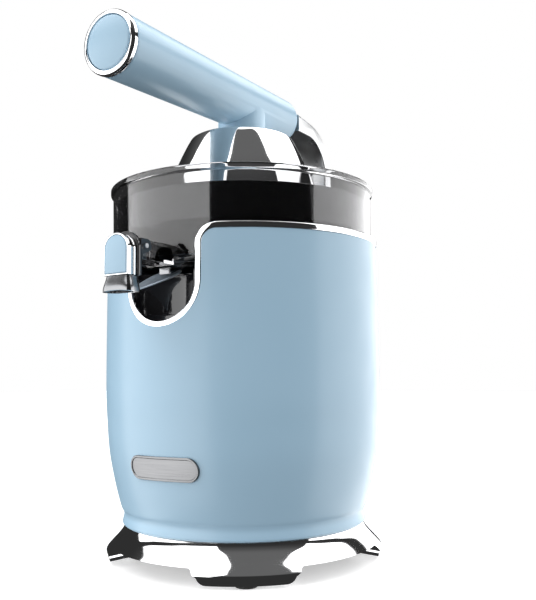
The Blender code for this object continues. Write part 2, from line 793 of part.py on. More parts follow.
def make_brackets():
    """Three plates carry the bearings, the lay shaft and the output bush, on three posts."""
    posts = [around(angle, POST_CIRCLE) for angle in (60, 180, 300)]
    holes = [(0, 0, BEARING_RADIUS + GAP)]
    holes += [(spot.x, spot.y, POST_RADIUS + GAP) for spot in posts]
    lay_hole = (GEAR_DISTANCE, 0, LAY_SHAFT_RADIUS + GAP)
    bracket_plate("motor_bracket_lower", LOWER_BRACKET_Z, holes)
    bracket_plate("motor_bracket_upper", UPPER_BRACKET_Z, holes + [lay_hole])
    bracket_plate("gearbox_plate", GEARBOX_TOP - BRACKET_THICKNESS, holes + [lay_hole])
    for index, spot in enumerate(posts):
        post = disc(f"frame_post_{index + 1}", POST_RADIUS, 10.5 * MM, GEARBOX_TOP + 2 * MM, SMALL_ROUND, spot)
        place(post, "steel")


def make_gears():
    """Two reduction stages: motor pinion to lay gear, lay pinion to output gear above the motor."""
    lay_at = (GEAR_DISTANCE, 0, 0)
    half_pitch = 180 / WHEEL_TEETH
    lay_bore = circle(LAY_SHAFT_RADIUS + GAP)
    wheel = flat(
        "lay_gear",
        [gear_outline(WHEEL_TEETH, FIRST_MODULE, 180 + half_pitch), lay_bore],
        8 * MM,
        (GEAR_DISTANCE, 0, FIRST_STAGE_Z),
    )
    small = flat(
        "lay_pinion",
        [gear_outline(LAY_TEETH, SECOND_MODULE, 180), lay_bore],
        14 * MM,
        (GEAR_DISTANCE, 0, 122 * MM),
    )
    boolean(wheel, as_cutter(small), "UNION")
    place(wheel, "white_plastic", LAY)
    place(disc("lay_shaft", LAY_SHAFT_RADIUS, 94 * MM, GEARBOX_TOP + 2 * MM, SMALL_ROUND, lay_at), "steel")
    output = flat(
        "output_gear",
        [
            gear_outline(OUTPUT_TEETH, SECOND_MODULE, 180 / OUTPUT_TEETH),
            circle(DRIVE_SHAFT_RADIUS + GAP),
        ],
        10 * MM,
        (0, 0, 124 * MM),
    )
    place(output, "white_plastic", OUTPUT)


def make_drive_shaft():
    """The output shaft: it turns with the gear, slides in it and lifts on its return spring."""
    profile = [
        (0, REAMER_BASE + 28 * MM),
        (DRIVE_SHAFT_RADIUS - 1 * MM, REAMER_BASE + 28 * MM),
        (DRIVE_SHAFT_RADIUS, REAMER_BASE + 27 * MM),
        (DRIVE_SHAFT_RADIUS, FLANGE_BOTTOM + 3 * MM),
        (16 * MM, FLANGE_BOTTOM + 3 * MM),
        (16 * MM, FLANGE_BOTTOM),
        (DRIVE_SHAFT_RADIUS, FLANGE_BOTTOM),
        (DRIVE_SHAFT_RADIUS, 121 * MM),
        (0, 121 * MM),
    ]
    place(turned("drive_shaft", profile, SMALL_ROUND), "steel", DRIVE)
    bush = ring("output_bush", DRIVE_SHAFT_RADIUS + GAP, BEARING_RADIUS, 132.5 * MM, GEARBOX_TOP + 3 * MM)
    place(bush, "brass")
    seal = ring("shaft_seal", DRIVE_SHAFT_RADIUS + GAP, 8.7 * MM, 206 * MM, 210 * MM)
    place(seal, "rubber")
    turns = 3
    per_turn = 8
    bottom = GEARBOX_TOP + 3 * MM + 2 * GAP + 0.5 * MM
    top = FLANGE_BOTTOM - GAP - 0.5 * MM
    coil = []
    for step in range(turns * per_turn + 1):
        share = step / (turns * per_turn)
        spot = around(360 * turns * share, 7.4 * MM, bottom + (top - bottom) * share)
        coil.append(tuple(spot))
    place(wire("return_spring", coil, 0.5 * MM, resolution=1), "steel")


def make_start_switch():
    """The microswitch under the shaft's flange, with its own sprung plunger."""
    spot = (PLUNGER_X, 0, 0)
    low = (PLUNGER_X - 20 * MM, -3.4 * MM, GEARBOX_TOP + GAP)
    body = box("start_switch", low, (PLUNGER_X + 3 * MM, 3.4 * MM, SWITCH_TOP))
    bore = disc("plunger_bore", 2 * MM, SWITCH_TOP - PRESS_TRAVEL - 2.5 * MM, SWITCH_TOP + 5 * MM, 12, spot)
    boolean(body, as_cutter(bore))
    place(body, "black_plastic")
    plunger = disc("switch_plunger", 1.7 * MM, SWITCH_TOP - 2.2 * MM, FLANGE_BOTTOM - GAP, 12, spot)
    place(plunger, "white_plastic", PLUNGER)


# ---------------------------------------------------------------- hinge and lever


def make_hinge_bracket():
    """The rear bracket: a post on the housing with two ears that hold the hinge pin."""
    ear = 6 * MM
    width = 2 * (ARM_HALF_WIDTH + 2 * GAP + ear)
    foot_z = 150 * MM
    outline = [
        (88 * MM, foot_z),
        (88 * MM, HINGE_Z - 6 * MM),
        *arc((HINGE_Y, HINGE_Z), 11 * MM, 150, -20, 6),
        (117 * MM, HINGE_Z - 24 * MM),
        (110 * MM, foot_z + 6 * MM),
        (105 * MM, foot_z),
    ]
    bracket = flat("hinge_bracket", [outline], width, (0, 0, 0), "YZ")
    seat = disc("bracket_seat", BODY_RADIUS + TRIM_PROUD + 2 * GAP, 100 * MM, 280 * MM, ROUND)
    boolean(bracket, as_cutter(seat))
    half = ARM_HALF_WIDTH + 2 * GAP
    pocket = box(
        "hinge_pocket",
        (-half, HINGE_Y - KNUCKLE_RADIUS - GAP, HINGE_Z - KNUCKLE_RADIUS - 2 * GAP),
        (half, 150 * MM, HINGE_Z + 20 * MM),
    )
    boolean(bracket, as_cutter(pocket))
    bore = cylinder("hinge_bore", HINGE_PIN_RADIUS + GAP, 80 * MM, (0, HINGE_Y, HINGE_Z), "X")
    boolean(bracket, as_cutter(bore))
    place(bracket, "chrome")


def make_hinge_pin():
    length = 2 * (ARM_HALF_WIDTH + 5 * MM)
    pin = cylinder("hinge_pin", HINGE_PIN_RADIUS, length, (0, HINGE_Y, HINGE_Z), "X")
    place(pin, "steel")
    side = ARM_HALF_WIDTH + 2 * GAP + 6 * MM
    for name, sign in (("hinge_cap_left", -1), ("hinge_cap_right", 1)):
        middle = sign * (side + GAP + 1 * MM)
        cap = cylinder(name, 8 * MM, 2 * MM, (middle, HINGE_Y, HINGE_Z), "X", 16)
        bevel(cap, 0.6 * MM, 1)
        place(cap, "chrome")


def make_arm():
    """The bright arm that sweeps down behind the bowl to its hinge."""
    centre = (ARM_CENTRE_Y, ARM_CENTRE_Z)
    root_y = TUBE_REAR_Y - 9 * MM
    inner_radius = ARM_RADIUS - ARM_THICKNESS
    outer = arc(centre, ARM_RADIUS, 82, 0, 6)
    inner = arc(centre, inner_radius, 0, 88, 6)
    knuckle = arc((HINGE_Y, HINGE_Z), KNUCKLE_RADIUS, 40, -220, 10)
    root_top = outer[0][1] + 3.6 * MM
    outline = [(root_y, root_top)] + outer + knuckle + inner + [(root_y, inner[-1][1])]
    arm = flat("lever_arm", [outline], 2 * ARM_HALF_WIDTH, (0, 0, 0), "YZ")
    bore = cylinder("arm_bore", HINGE_PIN_RADIUS + GAP, 60 * MM, (0, HINGE_Y, HINGE_Z), "X")
    boolean(arm, as_cutter(bore))
    length = (TUBE_REAR_Y - TUBE_FRONT_Y) / math.cos(TUBE_SLOPE) + GAP
    swept = [(0, 0), (TUBE_RADIUS + GAP, 0), (TUBE_RADIUS + GAP, -length), (0, -length)]
    boolean(arm, as_cutter(tube_turned("arm_tube_gap", swept)))
    recess = cylinder("arm_recess", 6 * MM, 10 * MM, (0, 0, 0), "Y")
    spot = arm_screw_spot()
    recess.location = spot
    recess.rotation_euler = (math.pi / 2 + ARM_SCREW_ANGLE, 0, 0)
    boolean(arm, as_cutter(recess))
    place(arm, "chrome", LEVER)
    make_arm_screw(spot)


def arm_screw_spot():
    """Middle of the screw recess on the arm's inner face."""
    radius = ARM_RADIUS - ARM_THICKNESS
    outwards = Vector((0, math.cos(ARM_SCREW_ANGLE), math.sin(ARM_SCREW_ANGLE)))
    return Vector((0, ARM_CENTRE_Y, ARM_CENTRE_Z)) + radius * outwards


def make_arm_screw(spot):
    outwards = Vector((0, math.cos(ARM_SCREW_ANGLE), math.sin(ARM_SCREW_ANGLE)))
    screw = cylinder("arm_screw", 5.2 * MM, 2.4 * MM, spot + outwards * 3.4 * MM, "Y")
    screw.rotation_euler = (math.pi / 2 + ARM_SCREW_ANGLE, 0, 0)
    place(screw, "steel", LEVER)


def tube_point(y):
    """A point on the handle's axis."""
    return Vector((0, y, TUBE_AXIS_Z + math.tan(TUBE_SLOPE) * y))


def tube_turned(name, profile, steps=24):
    """A turned piece about the handle's axis. Profile heights are distances forward of the tube's end."""
    obj = turned(name, profile, steps)
    obj.location = tube_point(TUBE_FRONT_Y)
    obj.rotation_euler = (math.pi / 2 + TUBE_SLOPE, 0, 0)
    return obj


def make_handle():
    """The painted grip tube with its collar, a bright end ring and a domed end cap."""
    length = (TUBE_REAR_Y - TUBE_FRONT_Y) / math.cos(TUBE_SLOPE)
    profile = [
        (0, 0),
        (TUBE_RADIUS, 0),
        (TUBE_REAR_RADIUS, -length + 5 * MM),
        (TUBE_REAR_RADIUS - 1.2 * MM, -length + 1.5 * MM),
        (TUBE_REAR_RADIUS - 4 * MM, -length),
        (0, -length),
    ]
    tube = tube_turned("handle_tube", profile)
    collar = disc("collar_body", COLLAR_RADIUS, COLLAR_BOTTOM, TUBE_AXIS_Z, 20)
    boolean(tube, as_cutter(collar), "UNION")
    bore_profile = [
        (0, 5 * MM),
        (TUBE_RADIUS - TUBE_WALL, 5 * MM),
        (TUBE_REAR_RADIUS - TUBE_WALL, -length + 8 * MM),
        (0, -length + 8 * MM),
    ]
    boolean(tube, as_cutter(tube_turned("tube_bore", bore_profile)))
    well = disc("collar_bore", COLLAR_RADIUS - TUBE_WALL, COLLAR_BOTTOM - 5 * MM, COLLAR_BOTTOM + 8 * MM, 20)
    boolean(tube, as_cutter(well))
    place(tube, "blue_paint", LEVER)
    end_ring = tube_turned("handle_end_ring", [
        (TUBE_RADIUS - 2.8 * MM, 4.4 * MM),
        (TUBE_RADIUS - 0.8 * MM, 4.4 * MM),
        (TUBE_RADIUS + 0.4 * MM, 3.2 * MM),
        (TUBE_RADIUS + 0.4 * MM, GAP),
        (TUBE_RADIUS - 2.8 * MM, GAP),
    ])
    place(end_ring, "chrome", LEVER)
    edge = TUBE_RADIUS - 2.8 * MM - GAP
    cap = tube_turned("handle_end_cap", [
        (0, 6 * MM),
        (edge * 0.5, 5.7 * MM),
        (edge * 0.85, 4.9 * MM),
        (edge, 4 * MM),
        (edge, -6 * MM),
        (0, -6 * MM),
    ])
    place(cap, "blue_paint", LEVER)


def dome_profile():
    """The dome's outer side, from its flat top down to its open edge."""
    return [
        (31 * MM, DOME_TOP),
        (36 * MM, DOME_TOP - 1.2 * MM),
        (39 * MM, DOME_TOP - 4.5 * MM),
        (46.2 * MM, DOME_TOP - 19 * MM),
        (52.3 * MM, DOME_TOP - 34.5 * MM),
        (DOME_RADIUS, DOME_BOTTOM),
    ]


def make_dome():
    """The bright pressing dome on its neck, with the liner that bears on the fruit."""
    outer = dome_profile()
    inner = [(r - DOME_WALL, z) for r, z in reversed(outer[1:])]
    top = [(6.3 * MM, DOME_TOP - DOME_WALL), (6.3 * MM, DOME_TOP)]
    profile = outer + inner + [(30 * MM, DOME_TOP - DOME_WALL)] + top
    place(turned("press_dome", profile), "chrome", LEVER)
    neck = [
        (6.3 * MM, COLLAR_BOTTOM + 7 * MM),
        (COLLAR_RADIUS - TUBE_WALL - GAP, COLLAR_BOTTOM + 7 * MM),
        (COLLAR_RADIUS - TUBE_WALL - GAP, DOME_TOP + GAP),
        (6.3 * MM, DOME_TOP + GAP),
    ]
    place(turned("dome_neck", neck, 20), "chrome", LEVER)
    liner = [
        (6.3 * MM, DOME_TOP - DOME_WALL - GAP),
        (29 * MM, DOME_TOP - DOME_WALL - GAP),
        (36 * MM, DOME_TOP - 10 * MM),
        (41 * MM, DOME_TOP - 20 * MM),
        (49.5 * MM, DOME_TOP - 40 * MM),
        (53 * MM, DOME_BOTTOM + 6 * MM),
        (51 * MM, DOME_BOTTOM + 6 * MM),
        (47.5 * MM, DOME_TOP - 40 * MM),
        (38 * MM, DOME_TOP - 19 * MM),
        (26 * MM, DOME_TOP - 8 * MM),
        (6.3 * MM, DOME_TOP - 5 * MM),
    ]
    place(turned("dome_liner", liner, 20), "grey_plastic", LEVER)
    screw = [
        (0, COLLAR_BOTTOM + 6 * MM),
        (6 * MM, COLLAR_BOTTOM + 6 * MM),
        (6 * MM, DOME_TOP - 5 * MM - GAP),
        (9 * MM, DOME_TOP - 5 * MM - 2 * GAP),
        (8 * MM, DOME_TOP - 8 * MM),
        (0, DOME_TOP - 8.6 * MM),
    ]
    place(turned("dome_screw", screw, SMALL_ROUND), "steel", LEVER)


# ---------------------------------------------------------------- spout


def make_spout():
    """The drip-stop spout that tilts on the bowl's outlet: hood, bright frame, painted plate and nozzle.

    The hood is open to the front and below, so juice runs down behind the plate and out of the nozzle.
    """
    depth = HOOD_REAR_Y - HOOD_FRONT_Y
    centre = (0, (HOOD_REAR_Y + HOOD_FRONT_Y) / 2, 0)
    hood = flat("spout_hood", [arch(HOOD_HALF_WIDTH, HOOD_BOTTOM, HOOD_APEX)], depth, centre, "XZ")
    cheek_outline = [
        (HOOD_REAR_Y - 1 * MM, SPOUT_PIVOT_Z - 6 * MM),
        (SPOUT_PIVOT_Y, SPOUT_PIVOT_Z - 4 * MM),
        *arc((SPOUT_PIVOT_Y, SPOUT_PIVOT_Z), 4 * MM, -60, 90, 3),
        (HOOD_REAR_Y - 1 * MM, SPOUT_PIVOT_Z + 4 * MM),
    ]
    cheek = HOOD_HALF_WIDTH - NOSE_HALF_WIDTH - 2 * GAP
    for name, side in (("cheek_left", -1), ("cheek_right", 1)):
        middle = side * (HOOD_HALF_WIDTH - 0.1 * MM - cheek / 2)
        ear = flat(name, [cheek_outline], cheek, (middle, 0, 0), "YZ")
        boolean(hood, as_cutter(ear), "UNION")
    cavity = box(
        "hood_cavity",
        (-SPOUT_HOLLOW_HALF_WIDTH, HOOD_FRONT_Y - 1 * MM, HOOD_BOTTOM - 5 * MM),
        (SPOUT_HOLLOW_HALF_WIDTH, HOOD_REAR_Y + 2 * MM, SPOUT_PIVOT_Z + 1 * MM),
    )
    boolean(hood, as_cutter(cavity))
    pivot = (0, SPOUT_PIVOT_Y, SPOUT_PIVOT_Z)
    boolean(hood, as_cutter(cylinder("hood_pin_bore", SPOUT_PIN_RADIUS + GAP, 40 * MM, pivot, "X", 12)))
    place(hood, "black_plastic", SPOUT)
    place(cylinder("spout_pin", SPOUT_PIN_RADIUS, 2 * HOOD_HALF_WIDTH, pivot, "X", 12), "steel")
    make_spout_front()
    make_nozzle()


def make_spout_front():
    """The deep bright arched frame and the painted plate that stands in its front."""
    back = HOOD_FRONT_Y - GAP
    frame_depth = back - SPOUT_FRAME_FRONT_Y
    frame_centre = (0, back - frame_depth / 2, 0)
    opening = arch(SPOUT_FACE_HALF_WIDTH, HOOD_BOTTOM + 0.7 * MM, HOOD_APEX - 2.9 * MM)
    outline = arch(SPOUT_FRAME_HALF_WIDTH, HOOD_BOTTOM, HOOD_APEX - 2 * MM)
    frame = flat("spout_frame", [outline, opening], frame_depth, frame_centre, "XZ")
    place(frame, "chrome", SPOUT)
    plate_depth = 2.4 * MM
    plate_front = SPOUT_FRAME_FRONT_Y - GAP
    inside = arch(SPOUT_FACE_HALF_WIDTH - GAP, HOOD_BOTTOM + 1 * MM, HOOD_APEX - 3.2 * MM)
    plate = flat("spout_plate", [inside], plate_depth, (0, plate_front + plate_depth / 2, 0), "XZ")
    place(plate, "blue_paint", SPOUT)


def make_nozzle():
    """A flared lip that turns the juice down, open above and below."""
    top = HOOD_BOTTOM - GAP

    def build(bm):
        bmesh.ops.create_cube(bm, size=1)
        for vertex in bm.verts:
            upper = vertex.co.z > 0
            front = vertex.co.y < 0
            half = SPOUT_FRAME_HALF_WIDTH if upper else NOZZLE_HALF_WIDTH
            vertex.co.x = math.copysign(half, vertex.co.x)
            vertex.co.y = HOOD_REAR_Y
            if front:
                vertex.co.y = SPOUT_FRAME_FRONT_Y - (0 if upper else 1.4 * MM)
            vertex.co.z = top if upper else NOZZLE_BOTTOM

    nozzle = mesh_object("spout_nozzle", build)
    bevel(nozzle, 1.6 * MM, 2, 60)
    hole = box(
        "nozzle_hole",
        (-SPOUT_HOLLOW_HALF_WIDTH, SPOUT_FRAME_FRONT_Y + 2.6 * MM, NOZZLE_BOTTOM - 10 * MM),
        (SPOUT_HOLLOW_HALF_WIDTH, HOOD_REAR_Y - 1.6 * MM, top + 10 * MM),
    )
    boolean(nozzle, as_cutter(hole))
    place(nozzle, "dark_chrome", SPOUT)


def make_drip_lip():
    """A leaf-shaped lip that hangs by a pad below the outlet and slopes down to a tip at the nozzle."""
    rear_z = LIP_TOP - 1.2 * MM
    drop = rear_z - LIP_TIP_Z
    run = LIP_REAR_Y - LIP_FRONT_Y
    slope = math.atan2(drop, run)
    length = math.hypot(drop, run)
    shares = [i / LIP_STEPS for i in range(LIP_STEPS + 1)]
    right = [(lip_half_width(share), -length * share) for share in shares]
    left = [(-x, y) for x, y in reversed(right)]
    blade = flat("drip_lip", [right + left], LIP_THICKNESS, (0, LIP_REAR_Y, rear_z), "XY")
    blade.rotation_euler = (slope, 0, 0)
    pad_low = (-5 * MM, LIP_REAR_Y - 10 * MM, rear_z - 3.4 * MM)
    pad = box("lip_pad", pad_low, (5 * MM, LIP_REAR_Y - 3 * MM, LIP_TOP))
    boolean(blade, as_cutter(pad), "UNION")
    place(blade, "dark_chrome")


def lip_half_width(share):
    """Half width of the lip, from its rounded rear end (share 0) to its tip (share 1)."""
    widest = 0.2
    if share < widest:
        return LIP_HALF_WIDTH * math.sqrt(1 - (0.9 * (1 - share / widest)) ** 2)
    narrowing = ((share - widest) / (1 - widest)) ** 1.6
    return LIP_TIP_HALF_WIDTH + (LIP_HALF_WIDTH - LIP_TIP_HALF_WIDTH) * (1 - narrowing)


# ---------------------------------------------------------------- assembly

clear_scene()
PARTS = new_collection("citrus_press_juicer")
CUTTERS = new_collection("cutters")
FRAME = new_empty("juicer_frame", (0, DRIVE_AXIS_Y, 0))
MOTOR = new_empty("motor_axis", (0, 0, 60 * MM), FRAME)
LAY = new_empty("lay_axis", (GEAR_DISTANCE, 0, 115 * MM), FRAME)
OUTPUT = new_empty("output_axis", (0, 0, 124 * MM), FRAME)
DRIVE = new_empty("press_axis", (0, 0, FLANGE_BOTTOM), FRAME)
PLUNGER = new_empty("plunger_axis", (PLUNGER_X, 0, SWITCH_TOP), FRAME)
LEVER = new_empty("lever_pivot", (0, HINGE_Y, HINGE_Z), FRAME)
SPOUT = new_empty("spout_pivot", (0, SPOUT_PIVOT_Y, SPOUT_PIVOT_Z), FRAME)

shell = make_body_shell()
make_body_trim()
make_badge()
make_base()
make_foot_pads()
make_bottom_cover()
boolean(shell, make_cord_gland())
make_deck()
make_basin()
make_bowl()
make_strainer()
make_reamer()
make_motor()
make_brackets()
make_gears()
make_drive_shaft()
make_start_switch()
make_hinge_bracket()
make_hinge_pin()
make_arm()
make_handle()
make_dome()
make_spout()
make_drip_lip()
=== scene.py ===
"""Looks of the lever citrus press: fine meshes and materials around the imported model."""

import json
import math

import bmesh
import bpy
from mathutils import Matrix, Vector


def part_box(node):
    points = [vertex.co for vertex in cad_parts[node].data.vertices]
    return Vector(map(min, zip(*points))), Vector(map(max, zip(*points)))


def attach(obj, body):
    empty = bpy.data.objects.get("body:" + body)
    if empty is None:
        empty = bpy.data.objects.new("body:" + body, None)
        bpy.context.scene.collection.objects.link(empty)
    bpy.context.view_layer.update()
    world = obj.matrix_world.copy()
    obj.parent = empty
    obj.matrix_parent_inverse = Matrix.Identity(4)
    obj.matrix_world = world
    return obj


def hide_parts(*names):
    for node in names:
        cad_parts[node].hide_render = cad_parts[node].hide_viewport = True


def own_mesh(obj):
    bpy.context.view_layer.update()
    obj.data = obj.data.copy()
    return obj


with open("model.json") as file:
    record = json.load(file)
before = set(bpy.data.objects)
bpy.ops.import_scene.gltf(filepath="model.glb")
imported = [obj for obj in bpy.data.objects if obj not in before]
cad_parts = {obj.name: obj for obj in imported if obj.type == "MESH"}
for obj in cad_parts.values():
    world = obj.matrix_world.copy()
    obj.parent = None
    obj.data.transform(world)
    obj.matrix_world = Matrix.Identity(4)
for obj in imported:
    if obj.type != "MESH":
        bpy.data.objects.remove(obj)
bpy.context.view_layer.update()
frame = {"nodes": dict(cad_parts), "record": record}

# Lengths are in millimetres until fit_piece scales a finished piece to metres.

MM = 0.001
FINE = 160  # sides of a large turned piece
SMALL = 48  # sides of a small turned piece
ON_AXIS = 1e-4  # a turned profile's point nearer the axis than this lies on it

# ---------- places taken from the frame


def low(node):
    """A CAD node's lowest corner."""
    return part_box(node)[0] / MM


def high(node):
    """A CAD node's highest corner."""
    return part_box(node)[1] / MM


def middle(node):
    """The middle of a CAD node's box."""
    return (low(node) + high(node)) / 2


AXIS_Y = middle("motor_shaft").y  # the drive axis stands at x = 0 and this y


def front_y(node):
    """Where a CAD node starts in front, counted from the drive axis."""
    return low(node).y - AXIS_Y


def rear_y(node):
    """Where a CAD node ends behind, counted from the drive axis."""
    return high(node).y - AXIS_Y


BODY_RADIUS = high("body_shell").x
BODY_TOP = high("body_shell").z
BODY_BOTTOM = low("body_shell").z
RIM_TOP = high("juice_bowl").z
BOWL_FLOOR = low("juice_bowl").z
BOWL_RADIUS = high("juice_bowl").x - 2
DOME_TOP = high("press_dome").z
DOME_BOTTOM = low("press_dome").z
TUBE_RADIUS = high("handle_tube").x
TUBE_SLOPE = math.radians(1.7)
TUBE_REAR_Y = rear_y("handle_tube") - (TUBE_RADIUS - 2) * math.sin(TUBE_SLOPE)
TUBE_FRONT_Y = front_y("handle_tube") + TUBE_RADIUS * math.sin(TUBE_SLOPE)
HINGE = middle("hinge_pin") - Vector((0, AXIS_Y, 0))
SPOUT_PIN = middle("spout_pin") - Vector((0, AXIS_Y, 0))


# ---------- mesh helpers


def mesh_object(name, build):
    """A new object whose mesh is made by build(bm), with its faces turned outwards."""
    bm = bmesh.new()
    build(bm)
    bmesh.ops.recalc_face_normals(bm, faces=bm.faces)
    mesh = bpy.data.meshes.new(name)
    bm.to_mesh(mesh)
    bm.free()
    obj = bpy.data.objects.new(name, mesh)
    bpy.context.scene.collection.objects.link(obj)
    return obj


def smooth(obj, angle=32):
    """Shades a piece smooth but for the edges that are sharper than an angle in degrees."""
    obj.data.shade_smooth()
    obj.data.set_sharp_from_angle(angle=math.radians(angle))
    return obj


def apply_modifiers(obj):
    """Turns a piece's modifiers into its mesh."""
    bpy.context.view_layer.update()
    graph = bpy.context.evaluated_depsgraph_get()
    mesh = bpy.data.meshes.new_from_object(obj.evaluated_get(graph))
    obj.modifiers.clear()
    obj.data = mesh
    return obj


def boolean(target, other, operation="DIFFERENCE"):
    """Cuts or joins a mesh with another, which is used up."""
    modifier = target.modifiers.new("cut", "BOOLEAN")
    modifier.object = other
    modifier.operation = operation
    modifier.solver = "EXACT"
    apply_modifiers(target)
    bpy.data.objects.remove(other, do_unlink=True)
    return target


def bevel(obj, width, segments=3, angle=50):
    """Rounds the edges that are sharper than an angle in degrees."""
    modifier = obj.modifiers.new("edges", "BEVEL")
    modifier.width = width
    modifier.segments = segments
    modifier.limit_method = "ANGLE"
    modifier.angle_limit = math.radians(angle)
    return apply_modifiers(obj)


def arc(centre, radius, start, end, count):
    """Points of a circular arc in a plane, angles in degrees."""
    angles = [math.radians(start + (end - start) * i / count) for i in range(count + 1)]
    return [(centre[0] + radius * math.cos(a), centre[1] + radius * math.sin(a)) for a in angles]


def rectangle(left, lower, right, upper):
    """The outline of a rectangle between two corners."""
    return [(left, lower), (right, lower), (right, upper), (left, upper)]


def spline(t, a, b, c, d):
    """The Catmull-Rom value at a share t of the way from b to c."""
    square = (2 * a - 5 * b + 4 * c - d) * t**2
    cube = (3 * b - a - 3 * c + d) * t**3
    return 0.5 * (2 * b + (c - a) * t + square + cube)


def curve_through(points, per_span=8):
    """A smooth line through 2D points, by Catmull-Rom."""
    knots = [points[0]] + list(points) + [points[-1]]
    made = []
    for before, start, end, after in zip(knots, knots[1:], knots[2:], knots[3:]):
        for step in range(per_span):
            t = step / per_span
            made.append(tuple(spline(t, *values) for values in zip(before, start, end, after)))
    return made + [points[-1]]


def rounded(points, radius, count=4, closed=True):
    """An outline with its corners rounded. An open line keeps its two ends."""
    made = []
    total = len(points)
    for index, corner in enumerate(points):
        if not closed and index in (0, total - 1):
            made.append(corner)
            continue
        here = Vector(corner)
        to_before = Vector(points[index - 1]) - here
        to_after = Vector(points[(index + 1) % total]) - here
        turn = math.pi - to_before.angle(to_after)
        if turn < 0.15:
            made.append(corner)
            continue
        cut = radius * math.tan(turn / 2)
        cut = min(cut, to_before.length * 0.45, to_after.length * 0.45)
        start = here + to_before.normalized() * cut
        end = here + to_after.normalized() * cut
        for step in range(count + 1):
            t = step / count
            spot = start * (1 - t) ** 2 + here * 2 * t * (1 - t) + end * t**2
            made.append((spot.x, spot.y))
    return made


def bridge(bm, first, second, closed=True):
    """Faces between two rows of vertices. A row of one vertex is the point that the other runs to."""
    count = max(len(first), len(second))
    for i in range(count if closed else count - 1):
        after = (i + 1) % count
        corners = [first[i % len(first)], first[after % len(first)]]
        corners += [second[after % len(second)], second[i % len(second)]]
        corners = list(dict.fromkeys(corners))
        if len(corners) > 2:
            bm.faces.new(corners)


def lathe(name, profile, steps=FINE, centre=(0, 0), angle=32):
    """A turned piece about Z. Its profile starts and ends on the axis, or else closes on itself."""
    solid = profile[0][0] < ON_AXIS and profile[-1][0] < ON_AXIS
    turns = [2 * math.pi * i / steps for i in range(steps)]

    def build(bm):
        loops = []
        for radius, z in profile:
            around = [0] if radius < ON_AXIS else turns
            spots = [(centre[0] + radius * math.cos(a), centre[1] + radius * math.sin(a), z) for a in around]
            loops.append([bm.verts.new(spot) for spot in spots])
        for first, second in zip(loops, loops[1:]):
            bridge(bm, first, second)
        if not solid:
            bridge(bm, loops[-1], loops[0])

    return smooth(mesh_object(name, build), angle)


def slab(name, outline, start, end, axis="X"):
    """A plate with a closed outline. Along X its points are (y, z), along Y (x, z), along Z (x, y)."""
    place_at = {
        "X": lambda u, v, w: (w, u, v),
        "Y": lambda u, v, w: (u, w, v),
        "Z": lambda u, v, w: (u, v, w),
    }[axis]

    def build(bm):
        near = [bm.verts.new(place_at(u, v, start)) for u, v in outline]
        far = [bm.verts.new(place_at(u, v, end)) for u, v in outline]
        bm.faces.new(near)
        bm.faces.new(far)
        bridge(bm, near, far)

    return smooth(mesh_object(name, build))


def drum(name, radius, bottom, top):
    """A large plain cylinder about the drive axis, for cutting."""
    return lathe(name, rectangle(0, bottom, radius, top), 192)


def rod(name, radius, start, end, steps=SMALL, edge=0.4):
    """A turned rod between two points, with rounded ends."""
    start, end = Vector(start), Vector(end)
    length = (end - start).length
    profile = rounded(rectangle(0, 0, radius, length), edge, 3, closed=False)
    obj = lathe(name, profile, steps)
    turn = Vector((0, 0, 1)).rotation_difference(end - start).to_matrix().to_4x4()
    obj.data.transform(Matrix.Translation(start) @ turn)
    return obj


def cross_bore(radius, at):
    """A cutter for a bore along X through a point."""
    reach = 40
    return rod("bore", radius, (-reach, at.y, at.z), (reach, at.y, at.z))


def sweep(name, path, outwards, section):
    """A closed band: a section of (across, out) points carried round a closed path."""
    total = len(path)

    def build(bm):
        loops = []
        for i, spot in enumerate(path):
            along = (path[(i + 1) % total] - path[i - 1]).normalized()
            out = outwards[i]
            across = along.cross(out).normalized()
            loops.append([bm.verts.new(spot + across * u + out * v) for u, v in section])
        for here, after in zip(loops, loops[1:] + loops[:1]):
            bridge(bm, here, after)

    return smooth(mesh_object(name, build), 40)


def fit_piece(obj, slot, body="root", nodes=()):
    """Scales a finished piece to metres and puts it on its body with the material of its slot, and hides the
    CAD nodes that it stands for.
    """
    obj.data.transform(Matrix.Scale(MM, 4))
    obj.location.y = AXIS_Y * MM
    obj.data.materials.clear()
    obj.data.materials.append(MATERIALS[slot])
    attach(obj, body)
    if nodes:
        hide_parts(*nodes)
    return obj


# ---------- materials


def set_inputs(node, values):
    """Sets a node's inputs, named after their sockets with _ for a space."""
    for socket, value in values.items():
        node.inputs[socket.replace("_", " ")].default_value = value


def added(nodes, kind, **values):
    """A new shader node with its inputs set."""
    node = nodes.new(f"ShaderNode{kind}")
    set_inputs(node, values)
    return node


